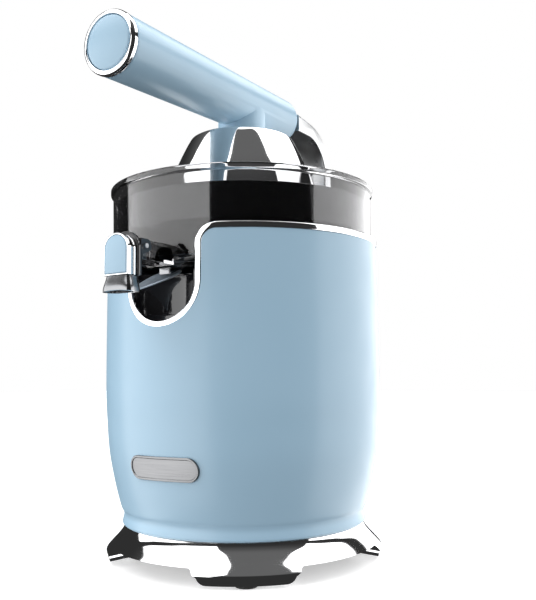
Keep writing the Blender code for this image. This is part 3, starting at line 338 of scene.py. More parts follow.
class Shader:
    """A material's Principled shader and the nodes that feed it."""

    def __init__(self, name, colour, roughness, metallic=0.0, **fixed):
        """A shader with even values, each of which a noise may vary later."""
        self.material = bpy.data.materials.new(name)
        self.material.use_nodes = True
        self.nodes = self.material.node_tree.nodes
        self.links = self.material.node_tree.links
        self.principled = self.nodes["Principled BSDF"]
        self.principled.inputs["Base Color"].default_value = (*colour, 1)
        self.principled.inputs["Roughness"].default_value = roughness
        self.principled.inputs["Metallic"].default_value = metallic
        set_inputs(self.principled, fixed)
        self.place = self.nodes.new("ShaderNodeTexCoord").outputs["Object"]

    def noise(self, scale, detail=2.0, stretch=(1, 1, 1)):
        """Noise of a scale per metre, drawn out along an axis where its stretch is below 1."""
        mapping = added(self.nodes, "Mapping", Scale=stretch)
        self.links.new(self.place, mapping.inputs["Vector"])
        texture = added(self.nodes, "TexNoise", Scale=scale, Detail=detail)
        self.links.new(mapping.outputs["Vector"], texture.inputs["Vector"])
        return texture.outputs["Fac"]

    def between(self, fac, low_value, high_value):
        """The noise's middle range, spread over two values."""
        ends = {"From_Min": 0.3, "From_Max": 0.7, "To_Min": low_value, "To_Max": high_value}
        spread = added(self.nodes, "MapRange", **ends)
        self.links.new(fac, spread.inputs["Value"])
        return spread.outputs["Result"]

    def vary_roughness(self, fac, low_value, high_value):
        """Lets the roughness follow a noise."""
        self.links.new(self.between(fac, low_value, high_value), self.principled.inputs["Roughness"])
        return self

    def vary_colour(self, fac, first, second):
        """Lets the colour follow a noise."""
        mix = self.nodes.new("ShaderNodeMix")
        mix.data_type = "RGBA"
        mix.inputs["A"].default_value = (*first, 1)
        mix.inputs["B"].default_value = (*second, 1)
        self.links.new(self.between(fac, 0, 1), mix.inputs["Factor"])
        self.links.new(mix.outputs["Result"], self.principled.inputs["Base Color"])
        return self

    def bump(self, fac, strength, distance):
        """Raises the surface by a noise."""
        node = added(self.nodes, "Bump", Strength=strength, Distance=distance)
        self.links.new(fac, node.inputs["Height"])
        self.links.new(node.outputs["Normal"], self.principled.inputs["Normal"])
        return self


def satin_paint():
    """Pastel blue enamel with a faint orange peel under a soft clear coat."""
    shader = Shader("blue_paint", (0.40, 0.60, 0.76), 0.42, Coat_Weight=0.35, Coat_Roughness=0.22)
    shader.vary_colour(shader.noise(9, 3), (0.385, 0.590, 0.750), (0.410, 0.610, 0.770))
    shader.vary_roughness(shader.noise(60, 2), 0.38, 0.46)
    return shader.bump(shader.noise(700, 1), 0.05, 0.0001).material


def plated(name, colour, roughness, scale, detail, metallic=1.0):
    """Metal whose shine varies between two roughnesses."""
    shader = Shader(name, colour, roughness[0], metallic)
    return shader.vary_roughness(shader.noise(scale, detail), *roughness).material


def brushed_plate():
    """Nickel plate brushed along its length."""
    shader = Shader("brushed_badge", (0.22, 0.222, 0.228), 0.3, 1.0)
    grain = shader.noise(900, 3, (0.04, 0.04, 1))
    shader.vary_colour(grain, (0.19, 0.192, 0.198), (0.25, 0.252, 0.258))
    shader.vary_roughness(grain, 0.26, 0.38)
    return shader.bump(grain, 0.25, 0.0001).material


def smoked_plastic():
    """Clear smoked moulding."""
    shader = Shader("smoked_plastic", (0.60, 0.60, 0.61), 0.02, Transmission_Weight=1.0, IOR=1.49)
    return shader.vary_roughness(shader.noise(30, 3), 0.012, 0.035).material


def gloss_black():
    """Glossy black moulding."""
    shader = Shader("gloss_black", (0.012, 0.012, 0.014), 0.09, Coat_Weight=0.5, Coat_Roughness=0.03)
    shader.vary_colour(shader.noise(40, 2), (0.010, 0.010, 0.012), (0.016, 0.016, 0.018))
    return shader.vary_roughness(shader.noise(80, 3), 0.06, 0.14).material


def moulded(name, first, second, roughness, grain=1200):
    """Matt moulded plastic with a fine grain."""
    shader = Shader(name, first, roughness)
    shader.vary_colour(shader.noise(25, 3), first, second)
    shader.vary_roughness(shader.noise(120, 2), roughness - 0.06, roughness + 0.06)
    return shader.bump(shader.noise(grain, 2), 0.2, 0.0001).material


def turned_steel():
    """Bright steel with fine turning rings."""
    shader = Shader("steel", (0.56, 0.56, 0.57), 0.28, 1.0)
    rings = shader.noise(600, 2, RINGS)
    shader.vary_roughness(rings, 0.2, 0.36)
    return shader.bump(rings, 0.15, 0.0001).material


def cast_metal():
    """Light metal as it comes from the mould."""
    shader = Shader("cast_metal", (0.50, 0.51, 0.52), 0.5, 1.0)
    shader.vary_colour(shader.noise(150, 4), (0.44, 0.45, 0.46), (0.56, 0.57, 0.58))
    return shader.bump(shader.noise(500, 4), 0.4, 0.0002).material


def yellow_metal(name, first, second, roughness):
    """Brass or copper with fine lines."""
    shader = Shader(name, first, roughness, 1.0)
    lines = shader.noise(800, 2, RINGS)
    shader.vary_colour(lines, first, second)
    return shader.bump(lines, 0.3, 0.0001).material


RINGS = (0.1, 0.1, 1)  # noise stretched so that it runs in rings about Z

MATERIALS = {
    "blue_paint": satin_paint(),
    "chrome": plated("chrome", (0.90, 0.905, 0.915), (0.03, 0.07), 35, 4),
    "dark_chrome": plated("dark_chrome", (0.26, 0.265, 0.275), (0.16, 0.26), 50, 3),
    "satin_chrome": plated("satin_chrome", (0.52, 0.525, 0.53), (0.24, 0.32), 45, 3),
    # The drip lip's blue-grey colour is a painted reflection of the blue housing, laid on plain metal.
    "lip_metal_painted_blue_reflection": plated("lip_metal_painted_blue_reflection", (0.42, 0.50, 0.58), (0.3, 0.4), 50, 3, 0.35),
    "brushed_badge": brushed_plate(),
    "smoked_plastic": smoked_plastic(),
    "black_plastic": gloss_black(),
    "grey_plastic": moulded("grey_plastic", (0.24, 0.24, 0.25), (0.28, 0.28, 0.29), 0.5),
    "white_plastic": moulded("white_plastic", (0.74, 0.73, 0.69), (0.78, 0.77, 0.73), 0.45),
    "rubber": moulded("rubber", (0.018, 0.018, 0.018), (0.03, 0.03, 0.03), 0.78, 700),
    "steel": turned_steel(),
    "cast_metal": cast_metal(),
    "brass": yellow_metal("brass", (0.62, 0.44, 0.19), (0.68, 0.50, 0.24), 0.25),
    "copper": yellow_metal("copper", (0.58, 0.25, 0.11), (0.68, 0.34, 0.17), 0.35),
}

for subpart in frame["record"]["subparts"]:
    node = frame["nodes"][subpart["node"]]
    node.data.materials.clear()
    node.data.materials.append(MATERIALS[subpart["material_slot"]])


# ---------- housing


def body_profile():
    """The housing's outer side, top to bottom, from the widest radius."""
    offsets = [
        (0.5, BODY_TOP),
        (0.1, 170),
        (0.0, 118),
        (1.0, 95),
        (2.7, 74),
        (6.7, 53),
        (10.6, 38),
        (12.4, 34),
        (12.9, 31.5),
        (12.3, 28.5),
        (11.8, BODY_BOTTOM),
    ]
    return curve_through([(BODY_RADIUS - inset, z) for inset, z in offsets], 10)


def body_radius(z):
    """The housing's outer radius at a height."""
    line = body_profile()
    for (upper_r, upper_z), (lower_r, lower_z) in zip(line, line[1:]):
        if lower_z <= z <= upper_z:
            share = (upper_z - z) / (upper_z - lower_z)
            return upper_r + (lower_r - upper_r) * share
    return line[0][0]


TRIM_LOW = low("body_trim").z
TRIM_TOP = high("body_trim").z
TRIM_HEIGHT = 4.2
TRIM_RADIUS = high("body_trim").x - TRIM_HEIGHT / 2
NOTCH_HALF_WIDTH = 27
NOTCH_SHOULDER = 11


def notch_path(offset, count):
    """Half of the notch's outline at x >= 0, from the top edge down to its lowest point, as (x, z)."""
    half = NOTCH_HALF_WIDTH + offset
    top = TRIM_TOP - TRIM_HEIGHT / 2 - offset
    shoulder = NOTCH_SHOULDER - offset
    lowest = TRIM_LOW + TRIM_HEIGHT / 2
    corner = arc((half + shoulder, top - shoulder), shoulder, 90, 180, count)
    belly = arc((0, lowest + NOTCH_HALF_WIDTH), half, 0, -90, 2 * count)
    return corner + belly


def make_shell():
    """The painted housing: a thin turned wall, rolled in at its foot and open at the notch."""
    wall = 2.2
    outer = body_profile()
    foot_radius, foot_z = outer[-1]
    roll = 1.6
    outer = outer[:-5] + arc((foot_radius - roll - 0.1, foot_z + roll), roll, 5, -90, 8)
    inner = [(r - wall, z) for r, z in reversed(outer[:-12])]
    shell = lathe("painted_housing", outer + inner, 192)
    half = notch_path(TRIM_HEIGHT / 2 - 1, 14)
    outline = half + [(-x, z) for x, z in reversed(half[:-1])]
    above = BODY_TOP + 12
    outline = [(outline[0][0], above)] + outline + [(outline[-1][0], above)]
    boolean(shell, slab("notch", outline, -BODY_RADIUS - 30, -BODY_RADIUS + 40, "Y"))
    smooth(shell, 40)
    fit_piece(shell, "blue_paint", nodes=["body_shell"])


def make_trim():
    """The bright band along the top edge and round the notch."""
    half = notch_path(0, 16)
    start = math.asin(half[0][0] / TRIM_RADIUS)
    count = 200
    path = []
    for i in range(count):
        angle = start - math.pi / 2 + (2 * math.pi - 2 * start) * i / count
        path.append(Vector((TRIM_RADIUS * math.cos(angle), TRIM_RADIUS * math.sin(angle), half[0][1])))
    dip = [(-x, z) for x, z in half] + [(x, z) for x, z in reversed(half[1:-1])]
    path += [Vector((x, -math.sqrt(TRIM_RADIUS**2 - x**2), z)) for x, z in dip]
    outwards = [Vector((p.x, p.y, 0)).normalized() for p in path]
    side = TRIM_HEIGHT / 2
    section = rounded(rectangle(-side, side - 0.3, side, -1.6), 0.9, 4)
    fit_piece(sweep("top_band", path, outwards, section), "chrome", nodes=["body_trim"])


def make_badge():
    """A plain nameplate with a raised border, bent round the housing."""
    half_width, _, half_height = (high("badge_plate") - low("badge_plate")) / 2
    centre_z = middle("badge_plate").z
    thickness = 1.4
    profile = [  # inset from the edge, height over the housing
        (0.0, 0.1),
        (0.0, thickness - 0.3),
        (0.3, thickness),
        (1.2, thickness),
        (1.6, thickness - 0.5),
    ]
    columns = 96
    rows = 8

    def column(u, inset):
        """Half the plate's height at a share u of its length, less an inset."""
        past_middle = abs(u) * (half_width - inset) - (half_width - half_height)
        radius = half_height - inset
        return radius if past_middle <= 0 else math.sqrt(max(radius**2 - past_middle**2, 0))

    def border(bm, inset, rise):
        """One loop of the plate's outline, from its left end over its upper side and back."""
        upper = []
        for i in range(columns + 1):
            u = -math.cos(math.pi * i / columns)
            upper.append((u * (half_width - inset), column(u, inset)))
        outline = upper + [(x, -z) for x, z in reversed(upper[1:-1])]
        return [bm.verts.new(bent(x, z + centre_z, rise)) for x, z in outline]

    def fill(bm, loop, inset, rise):
        """Closes a loop with a curved sheet of rows between its upper and lower side."""
        grid = [[loop[0]] * (rows + 1)]
        for i in range(1, columns):
            u = -math.cos(math.pi * i / columns)
            x, half = u * (half_width - inset), column(u, inset)
            heights = [centre_z + half * (1 - 2 * j / rows) for j in range(1, rows)]
            grid.append([loop[i]] + [bm.verts.new(bent(x, z, rise)) for z in heights] + [loop[-i]])
        grid.append([loop[columns]] * (rows + 1))
        for first, second in zip(grid, grid[1:]):
            bridge(bm, first, second, closed=False)

    def build(bm):
        loops = [border(bm, inset, rise) for inset, rise in profile]
        for outer, inner in zip(loops, loops[1:]):
            bridge(bm, outer, inner)
        fill(bm, loops[0], *profile[0])
        fill(bm, loops[-1], *profile[-1])

    fit_piece(smooth(mesh_object("nameplate", build), 30), "brushed_badge", nodes=["badge_plate"])


def bent(x, z, rise):
    """A point that lies at arc distance x from the housing's front line, risen off its surface."""
    radius = body_radius(z) + rise
    angle = x / radius
    return (radius * math.sin(angle), -radius * math.cos(angle), z)


FOOT_ANGLES = (-56.5, 33.5, 123.5, 213.5)  # degrees from +X
GAP_TOP_ANGLE = 23  # half of a gap between two feet at its top, in degrees round the drive axis
GAP_FOOT_ANGLE = 26.5  # and at the feet


def make_base():
    """The polished base: a flared ring cut away between its four feet."""
    top = high("base_ring").z
    bottom = low("base_ring").z
    edge = 11.5
    foot = high("base_ring").x + 2.5
    flare = [
        (83.3, top),
        (84.2, top - 2.4),
        (85.8, top - 5.2),
        (88.9, top - 8.9),
        (93.0, edge),
        (foot - 0.6, edge - 2.6),
    ]
    outer = curve_through(flare, 6) + [(foot, edge - 3.4), (foot - 2, bottom)]
    inner = [(74, bottom), (74, edge + 2), (80, top - 6), (80, top)]
    profile = rounded(outer + inner, 0.8, 3)
    base = lathe("footed_base", profile, 192)
    reach = 96
    edge_half = reach * math.sin(math.radians(GAP_TOP_ANGLE))
    foot_half = reach * math.sin(math.radians(GAP_FOOT_ANGLE))
    corner = 4.5
    side = rounded([(0, edge), (edge_half, edge), (foot_half, bottom + corner)], 4, 8, closed=False)
    side += arc((foot_half + corner, bottom + corner), corner, 180, 270, 10)
    side.append((foot_half + corner, bottom - 4))
    gap_outline = [(-x, z) for x, z in reversed(side[1:])] + side
    for angle in FOOT_ANGLES:
        gap = math.radians(angle + 45)
        cutter = slab("gap", gap_outline, 60, 120, "Y")
        cutter.data.transform(Matrix.Rotation(gap - math.pi / 2, 4, "Z"))
        boolean(base, cutter)
    smooth(base, 35)
    fit_piece(base, "chrome", nodes=["base_ring"])


def make_feet():
    """The rubber pads under the feet."""
    for index in range(len(FOOT_ANGLES)):
        node = f"foot_pad_{index + 1}"
        spot = middle(node) - Vector((0, AXIS_Y, 0))
        top = high(node).z
        radius = 7
        profile = rounded(rectangle(0, top, radius, 0), 0.8, 4, closed=False)
        pad = lathe(f"rubber_foot_{index + 1}", profile, SMALL, (spot.x, spot.y))
        fit_piece(pad, "rubber", nodes=[node])


def make_basin():
    """The glossy black recess behind the notch."""
    floor = low("spout_basin").z
    rise = high("spout_basin").z
    centre = (0, -97)
    radius = 24
    profile = [
        (0, floor + 2),
        (radius - 14, floor + 3),
        (radius - 5.5, floor + 5.8),
        (radius, floor + 14),
        (radius, rise),
        (radius + 2, rise),
        (radius + 2, floor + 13),
        (radius - 4, floor + 4),
        (radius - 14, floor + 1),
        (0, floor),
    ]
    basin = lathe("spout_recess", rounded(profile, 3, 4, closed=False), 96, centre)
    keep = BODY_RADIUS - 2.6
    boolean(basin, drum("keep", keep, 100, 240), "INTERSECT")
    smooth(basin, 40)
    fit_piece(basin, "black_plastic", nodes=["spout_basin"])


# ---------- bowl, strainer and reamer


def make_bowl():
    """The smoked bowl with its rolled rim and the outlet tunnel on its front."""
    floor = BOWL_FLOOR
    inside = BOWL_RADIUS - 2
    profile = [
        (inside + 0.6, RIM_TOP),
        (BOWL_RADIUS + 2, RIM_TOP),
        (BOWL_RADIUS + 2, RIM_TOP - 3.6),
        (BOWL_RADIUS + 0.3, RIM_TOP - 4.6),
        (BOWL_RADIUS - 0.3, floor + 6),
        (BOWL_RADIUS - 3, floor),
        (12.6, floor),
        (12.6, floor + 26),
        (14.6, floor + 26),
        (14.6, floor + 2.4),
        (BOWL_RADIUS - 4.5, floor + 2.4),
        (inside - 0.3, floor + 7),
    ]
    bowl = lathe("smoked_bowl", rounded(profile, 1, 4), 160)
    front = front_y("juice_bowl")
    nose = slab("nose", arch(7.9, floor + 0.5, 209), front, -inside - 0.6, "Y")
    boolean(bowl, nose, "UNION")
    channel = arch(6.1, floor + 2.6, 207.2)
    boolean(bowl, slab("channel", channel, front - 5, -inside + 6, "Y"))
    smooth(bowl, 35)
    fit_piece(bowl, "smoked_plastic", nodes=["juice_bowl"])


def arch(half_width, bottom, apex, count=20):
    """A doorway outline with a round top, as (x, z)."""
    top = arc((0, apex - half_width), half_width, 0, 180, count)
    return [(-half_width, bottom), (half_width, bottom)] + top


def make_strainer():
    """The black pulp basket with its two rings of slots."""
    top = high("strainer").z
    floor = low("strainer").z
    radius = high("strainer").x
    wall = 1.6
    collar_top = floor + 15.7
    profile = [
        (radius - wall, top),
        (radius, top),
        (radius - 0.6, floor + 18),
        (radius - 6, floor + 10),
        (42, floor),
        (19, floor),
        (15.2, floor + 2),
        (15.2, collar_top),
        (17, collar_top),
        (17, floor + wall),
        (42, floor + wall),
        (radius - 7, floor + 11.5),
        (radius - 2.2, floor + 19),
    ]
    basket = lathe("pulp_strainer", rounded(profile, 0.7, 3), 160)
    boolean(basket, slots())
    smooth(basket, 35)
    fit_piece(basket, "black_plastic", nodes=["strainer"])


def slots():
    """Cutters for the two rings of radial slots in the basket's floor."""
    per_ring = 10
    size = Matrix.Diagonal((11, 2.6, 40, 1))

    def build(bm):
        for row, radius in enumerate((52, 70)):
            shift = Matrix.Translation((radius, 0, 214))
            for index in range(per_ring):
                turn = Matrix.Rotation(2 * math.pi * (index + 0.5 * row) / per_ring, 4, "Z")
                bmesh.ops.create_cube(bm, size=1, matrix=turn @ shift @ size)

    return mesh_object("slots", build)


def make_reamer():
    """The ribbed pressing cone, with a rounded tip."""
    base = low("reamer_cone").z
    tip = high("reamer_cone").z
    radius = 34
    ribs = 10
    rings = 28
    sides = ribs * 16

    def build(bm):
        loops = []
        for step in range(rings):
            share = math.sin(math.pi / 2 * step / rings)
            envelope = radius * math.sqrt(1 - share**1.7)
            loop = []
            for side in range(sides):
                angle = 2 * math.pi * side / sides
                rib = abs(math.cos(angle * ribs / 2)) ** 0.8
                here = envelope * (0.80 + 0.20 * rib)
                height = base + (tip - base) * share
                loop.append(bm.verts.new((here * math.cos(angle), here * math.sin(angle), height)))
            loops.append(loop)
        for lower, upper in zip(loops, loops[1:]):
            bridge(bm, lower, upper)
        bridge(bm, loops[-1], [bm.verts.new((0, 0, tip))])
        bm.faces.new(loops[0])

    cone = mesh_object("ribbed_reamer", build)
    boolean(cone, rod("socket", 19, (0, 0, base - 5), (0, 0, base + 12)))
    boolean(cone, rod("bore", 5.3, (0, 0, base - 5), (0, 0, base + 28.3)))
    smooth(cone, 50)
    fit_piece(cone, "black_plastic", "press", ["reamer_cone"])


def make_spring():
    """The return spring round the drive shaft, made as a fixed coil; the real spring flattens as the shaft is
    pressed down.
    """
    bottom = low("return_spring").z
    whole = high("return_spring").z - bottom
    wire = 0.5
    radius = high("return_spring").x - wire
    height = whole - 2 * wire
    turns = 3
    steps = turns * 36
    sides = 10

    def build(bm):
        rings = []
        for i in range(steps + 1):
            angle = 2 * math.pi * turns * i / steps
            outwards = Vector((math.cos(angle), math.sin(angle), 0))
            centre = outwards * radius + Vector((0, 0, bottom + wire + height * i / steps))
            ring = []
            for j in range(sides):
                turn = 2 * math.pi * j / sides
                up = Vector((0, 0, wire * math.sin(turn)))
                ring.append(bm.verts.new(centre + outwards * wire * math.cos(turn) + up))
            rings.append(ring)
        for first, second in zip(rings, rings[1:]):
            bridge(bm, first, second)
        bm.faces.new(rings[0])
        bm.faces.new(rings[-1])

    spring = fit_piece(smooth(mesh_object("spring_coil", build), 60), "steel", nodes=["return_spring"])
    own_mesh(spring)


# ---------- lever: handle, arm, hinge and dome

HINGE_BORE = 4.3  # radius of the pin's bore
KNUCKLE_RADIUS = 9.3  # the arm's round end on the pin
SCREW_BORE = 6.3  # radius of the dome's hole for its screw
TUBE_LENGTH = (TUBE_REAR_Y - TUBE_FRONT_Y) / math.cos(TUBE_SLOPE)


def tube_axis(y):
    """A point on the handle's axis."""
    ring = middle("handle_end_ring")
    return Vector((0, y, ring.z + math.tan(TUBE_SLOPE) * (y + AXIS_Y - ring.y)))


def along_tube(obj):
    """Lays a piece that was turned about Z along the handle, with +Z forward from the tube's front end."""
    turn = Matrix.Rotation(math.pi / 2 + TUBE_SLOPE, 4, "X")
    obj.data.transform(Matrix.Translation(tube_axis(TUBE_FRONT_Y)) @ turn)
    return obj


def make_grip():
    """The painted tube with its collar, standing on the dome's neck."""
    rear = TUBE_RADIUS - 2
    front_bore = TUBE_RADIUS - 2
    rear_bore = rear - 2
    deepest = 8 - TUBE_LENGTH
    profile = [
        (0, deepest),
        (rear_bore, deepest),
        (0, -TUBE_LENGTH),
        (rear - 4, -TUBE_LENGTH),
        (rear - 1.2, 1.5 - TUBE_LENGTH),
        (rear, 5 - TUBE_LENGTH),
        (TUBE_RADIUS, -3),
        (TUBE_RADIUS, 0),
        (front_bore, 0),
    ]
    profile = rounded(profile, 1.2, 4, closed=False)
    grip = along_tube(lathe("painted_grip", profile, 128))
    collar = high("dome_neck").x + 2.3
    bottom = low("dome_neck").z + 4.7
    inside = tube_axis(0).z
    profile = [(0, bottom), (collar - 2, bottom), (collar, bottom), (collar, inside), (0, inside)]
    boolean(grip, lathe("collar", rounded(profile, 0.5, 3, closed=False), 96), "UNION")
    bore = [(0, 5), (front_bore, 5), (rear_bore, deepest), (0, deepest)]
    boolean(grip, along_tube(lathe("bore", bore, 96)))
    boolean(grip, rod("well", collar - 2, (0, 0, bottom - 5), (0, 0, bottom + 8), 96))
    smooth(grip, 28)
    fit_piece(grip, "blue_paint", "lever", ["handle_tube"])


def make_grip_end():
    """The bright ring round the grip's front end and the painted cap that crowns inside it."""
    edge = TUBE_RADIUS - 2.8
    outer = TUBE_RADIUS + 0.3
    profile = [(edge, 4.6), (edge + 1.2, 4.8), (outer - 0.7, 4.2), (outer, 2.9),
               (outer, 0.3), (edge, 0.3)]
    ring = along_tube(lathe("grip_end_ring", rounded(profile, 0.9, 4), 128))
    fit_piece(ring, "chrome", "lever", ["handle_end_ring"])
    cap_edge = edge - 0.3
    crown = [(0, 6), (cap_edge * 0.3, 5.9), (cap_edge * 0.6, 5.5), (cap_edge * 0.85, 4.9),
             (cap_edge * 0.96, 4.4), (cap_edge, 3.4)]
    crown = curve_through(crown, 6)
    profile = crown + [(cap_edge, -6), (0, -6)]
    fit_piece(along_tube(lathe("grip_end_cap", profile, 128)), "blue_paint", "lever", ["handle_end_cap"])


def make_arm():
    """The bright arm that bends down behind the bowl, with a sunk screw on its inner side."""
    centre = (74, 290)
    outer_radius = 40.3
    inner_radius = outer_radius - 11
    root = TUBE_REAR_Y - 9
    outer = arc(centre, outer_radius, 82, 0, 40)
    inner = arc(centre, inner_radius, 0, 88, 40)
    knuckle = arc((HINGE.y, HINGE.z), KNUCKLE_RADIUS, 40, -220, 40)
    start = [(root, outer[0][1] + 3.6)]
    outline = start + outer + knuckle + inner + [(root, inner[-1][1])]
    half = high("lever_arm").x
    arm = slab("bright_arm", outline, -half, half, "X")
    bevel(arm, 1.6, 4, 60)
    boolean(arm, cross_bore(HINGE_BORE, HINGE))
    length = TUBE_LENGTH + 0.3
    around_tube = TUBE_RADIUS + 0.3
    boolean(arm, along_tube(lathe("tube_gap", rectangle(0, -length, around_tube, 0), 96)))
    lean = math.radians(14)
    outwards = Vector((0, math.cos(lean), math.sin(lean)))
    screw_at = Vector((0, *centre)) + inner_radius * outwards
    boolean(arm, rod("recess", 6.6, screw_at - outwards * 5, screw_at + outwards * 5, 64))
    smooth(arm, 30)
    fit_piece(arm, "satin_chrome", "lever", ["lever_arm"])
    sunk = screw_at + outwards * 2.2
    head = rod("sunk_screw", 5.2, sunk, sunk + outwards * 2.4, 64, 0.7)
    face = Vector((0, 0, 1)).rotation_difference(outwards).to_matrix().to_4x4()
    for turn in (0, 90):
        slot = slab("cross", rectangle(-3.2, -0.5, 3.2, 0.5), -1.5, 1.2, "Z")
        slot.data.transform(Matrix.Rotation(math.radians(turn), 4, "Z"))
        slot.data.transform(Matrix.Translation(sunk) @ face)
        boolean(head, slot)
    smooth(head, 30)
    fit_piece(head, "steel", "lever", ["arm_screw"])


def make_hinge():
    """The rear bracket with its two ears, and the domed caps on the pin's ends."""
    ear = 10.8
    foot = low("hinge_bracket").z
    outline = [(88, foot), (88, HINGE.z - 6)]
    outline += arc((HINGE.y, HINGE.z), ear, 150, -20, 28)
    outline += [(117, HINGE.z - 24), (110, foot + 6), (105, foot)]
    half = high("hinge_bracket").x
    bracket = slab("hinge_bracket_shell", outline, -half, half, "X")
    bevel(bracket, 1.8, 4, 50)
    seat = BODY_RADIUS + 0.9
    boolean(bracket, drum("seat", seat, 100, 280))
    inner = high("lever_arm").x + 0.6
    start = HINGE.y - KNUCKLE_RADIUS - 0.3
    pocket = rectangle(start, HINGE.z - KNUCKLE_RADIUS - 0.6, 150, HINGE.z + 20)
    boolean(bracket, slab("pocket", pocket, -inner, inner, "X"))
    boolean(bracket, cross_bore(HINGE_BORE, HINGE))
    smooth(bracket, 30)
    fit_piece(bracket, "satin_chrome", nodes=["hinge_bracket"])
    for name, node, sign in (("pin_cap_left", "hinge_cap_left", -1), ("pin_cap_right", "hinge_cap_right", 1)):
        start = min(abs(low(node).x), abs(high(node).x))
        crown = [(0, 2), (3, 1.9), (6, 1.5), (7.6, 0.8)]
        cap = lathe(name, curve_through(crown, 5) + [(8, 0), (0, 0)], 96)
        turn = Matrix.Rotation(sign * math.pi / 2, 4, "Y")
        cap.data.transform(Matrix.Translation((sign * start, HINGE.y, HINGE.z)) @ turn)
        fit_piece(cap, "chrome", nodes=[node])


def make_dome():
    """The polished pressing dome on its neck, the grey liner inside it and the screw that holds them."""
    wall = 1.6
    top = DOME_TOP
    outer = [(31, top), (36, top - 1.2), (39, top - 4.5), (46.2, top - 19),
             (52.3, top - 34.5), (59, DOME_BOTTOM)]
    outside = [(SCREW_BORE, top)] + curve_through(outer, 8)
    inside = [(r - wall, z - 0.8 * wall * (z > top - 3)) for r, z in reversed(outside[1:])]
    lip = [(outer[-1][0] - 0.1, DOME_BOTTOM)]
    dome = lathe("pressing_dome", outside + lip + inside + [(SCREW_BORE, top - wall)], 192, angle=40)
    fit_piece(dome, "chrome", "lever", ["press_dome"])
    neck_radius = high("dome_neck").x
    neck_top = high("dome_neck").z
    neck = rounded(rectangle(SCREW_BORE, neck_top, neck_radius, top + 0.3), 0.4, 3)
    fit_piece(lathe("neck_ring", neck, 96), "chrome", "lever", ["dome_neck"])
    liner = [
        (SCREW_BORE, top - wall - 0.3),
        (29, top - wall - 0.3),
        (36, top - 10),
        (41, top - 20),
        (49.5, top - 40),
        (53, DOME_BOTTOM + 6),
        (51, DOME_BOTTOM + 6),
        (47.5, top - 40),
        (38, top - 19),
        (26, top - 8),
        (SCREW_BORE, top - 5),
    ]
    piece = ribbed("dome_liner_ribbed", rounded(liner, 1, 4), 20, 0.8)
    fit_piece(piece, "grey_plastic", "lever", ["dome_liner"])
    head = [(0, top - 8.6), (8, top - 8), (9, top - 5.6), (6, top - 5.3),
            (6, high("dome_screw").z), (0, high("dome_screw").z)]
    screw = lathe("dome_bolt", rounded(head, 0.5, 3, closed=False), SMALL)
    boolean(screw, hexagon("socket", 3.4, top - 12, top - 5.5))
    fit_piece(smooth(screw, 30), "steel", "lever", ["dome_screw"])


def hexagon(name, radius, bottom, top):
    """A cutter for a hexagon socket."""
    return slab(name, arc((0, 0), radius, 0, 360, 6)[:-1], bottom, top, "Z")


def ribbed(name, profile, ribs, depth):
    """A turned piece whose lower, inner side stands in ribs towards the axis."""
    obj = lathe(name, profile, ribs * 12)
    lowest = min(z for _, z in profile)
    for vertex in obj.data.vertices:
        radius = math.hypot(vertex.co.x, vertex.co.y)
        beside = math.atan2(vertex.co.y, vertex.co.x) * ribs
        inside = is_inner(profile, radius, vertex.co.z)
        if inside and vertex.co.z > lowest + 2 and radius > 20:
            factor = 1 + depth * (math.cos(beside) ** 4 - 1) * -0.5 / radius
            vertex.co.x /= factor
            vertex.co.y /= factor
    return smooth(obj, 35)


def is_inner(profile, radius, z):
    """Whether another profile point at about the same height lies further out than this one."""
    return any(r > radius + 1.5 and abs(other - z) < 1.2 for r, other in profile)


# ---------- spout and drip lip


def make_spout():
    """The tilting spout: a black hood with its frame and plate, and a flared nozzle."""
    rear = rear_y("spout_nozzle")
    front = front_y("spout_hood")
    bottom = low("spout_hood").z
    apex = high("spout_hood").z
    half = high("spout_hood").x
    hollow = 7.4
    hood = slab("hood", arch(half, bottom, apex, 40), front, rear, "Y")
    bevel(hood, 0.7, 3, 50)
    nose = 8.5
    cheek = [(rear - 1, SPOUT_PIN.z - 6), (SPOUT_PIN.y, SPOUT_PIN.z - 4)]
    cheek += arc((SPOUT_PIN.y, SPOUT_PIN.z), 4, -60, 90, 20) + [(rear - 1, SPOUT_PIN.z + 4)]
    for side in (-1, 1):
        ends = sorted((side * nose, side * (half - 0.1)))
        boolean(hood, slab("cheek", cheek, ends[0], ends[1], "X"), "UNION")
    cavity = rectangle(-hollow, bottom - 5, hollow, SPOUT_PIN.z + 1)
    boolean(hood, slab("cavity", cavity, front - 1, rear + 2, "Y"))
    boolean(hood, cross_bore(1.8, SPOUT_PIN))
    fit_piece(smooth(hood, 35), "black_plastic", "spout", ["spout_hood"])
    make_spout_frame()
    make_nozzle(rear)


def make_spout_frame():
    """Two bright rings with a dark groove between them, as one piece, round the painted plate."""
    front = front_y("spout_frame")
    back = rear_y("spout_frame")
    bottom = low("spout_frame").z
    apex = high("spout_frame").z
    half = high("spout_frame").x
    opening = arch(8.7, bottom + 0.7, apex - 0.9, 40)
    rings = []
    for start, end, inset in ((front, front + 4.6, 0), (front + 4, back - 1.6, 0.9),
                              (back - 2.4, back, 0)):
        outline = arch(half - inset, bottom + inset * 0.3, apex - inset, 40)
        ring = slab("ring", outline, start, end, "Y")
        if not inset:
            bevel(ring, 0.45, 3, 50)
        rings.append(ring)
    frame_piece = rings[0]
    for ring in rings[1:]:
        boolean(frame_piece, ring, "UNION")
    boolean(frame_piece, slab("opening", opening, front - 2, back + 2, "Y"))
    frame_piece.name = "spout_rings"
    fit_piece(smooth(frame_piece, 35), "chrome", "spout", ["spout_frame"])
    inside = arch(high("spout_plate").x, low("spout_plate").z, high("spout_plate").z, 40)
    plate = slab("painted_plate", inside, front_y("spout_plate"), rear_y("spout_plate"), "Y")
    bevel(plate, 0.7, 4, 50)
    fit_piece(smooth(plate, 35), "blue_paint", "spout", ["spout_plate"])


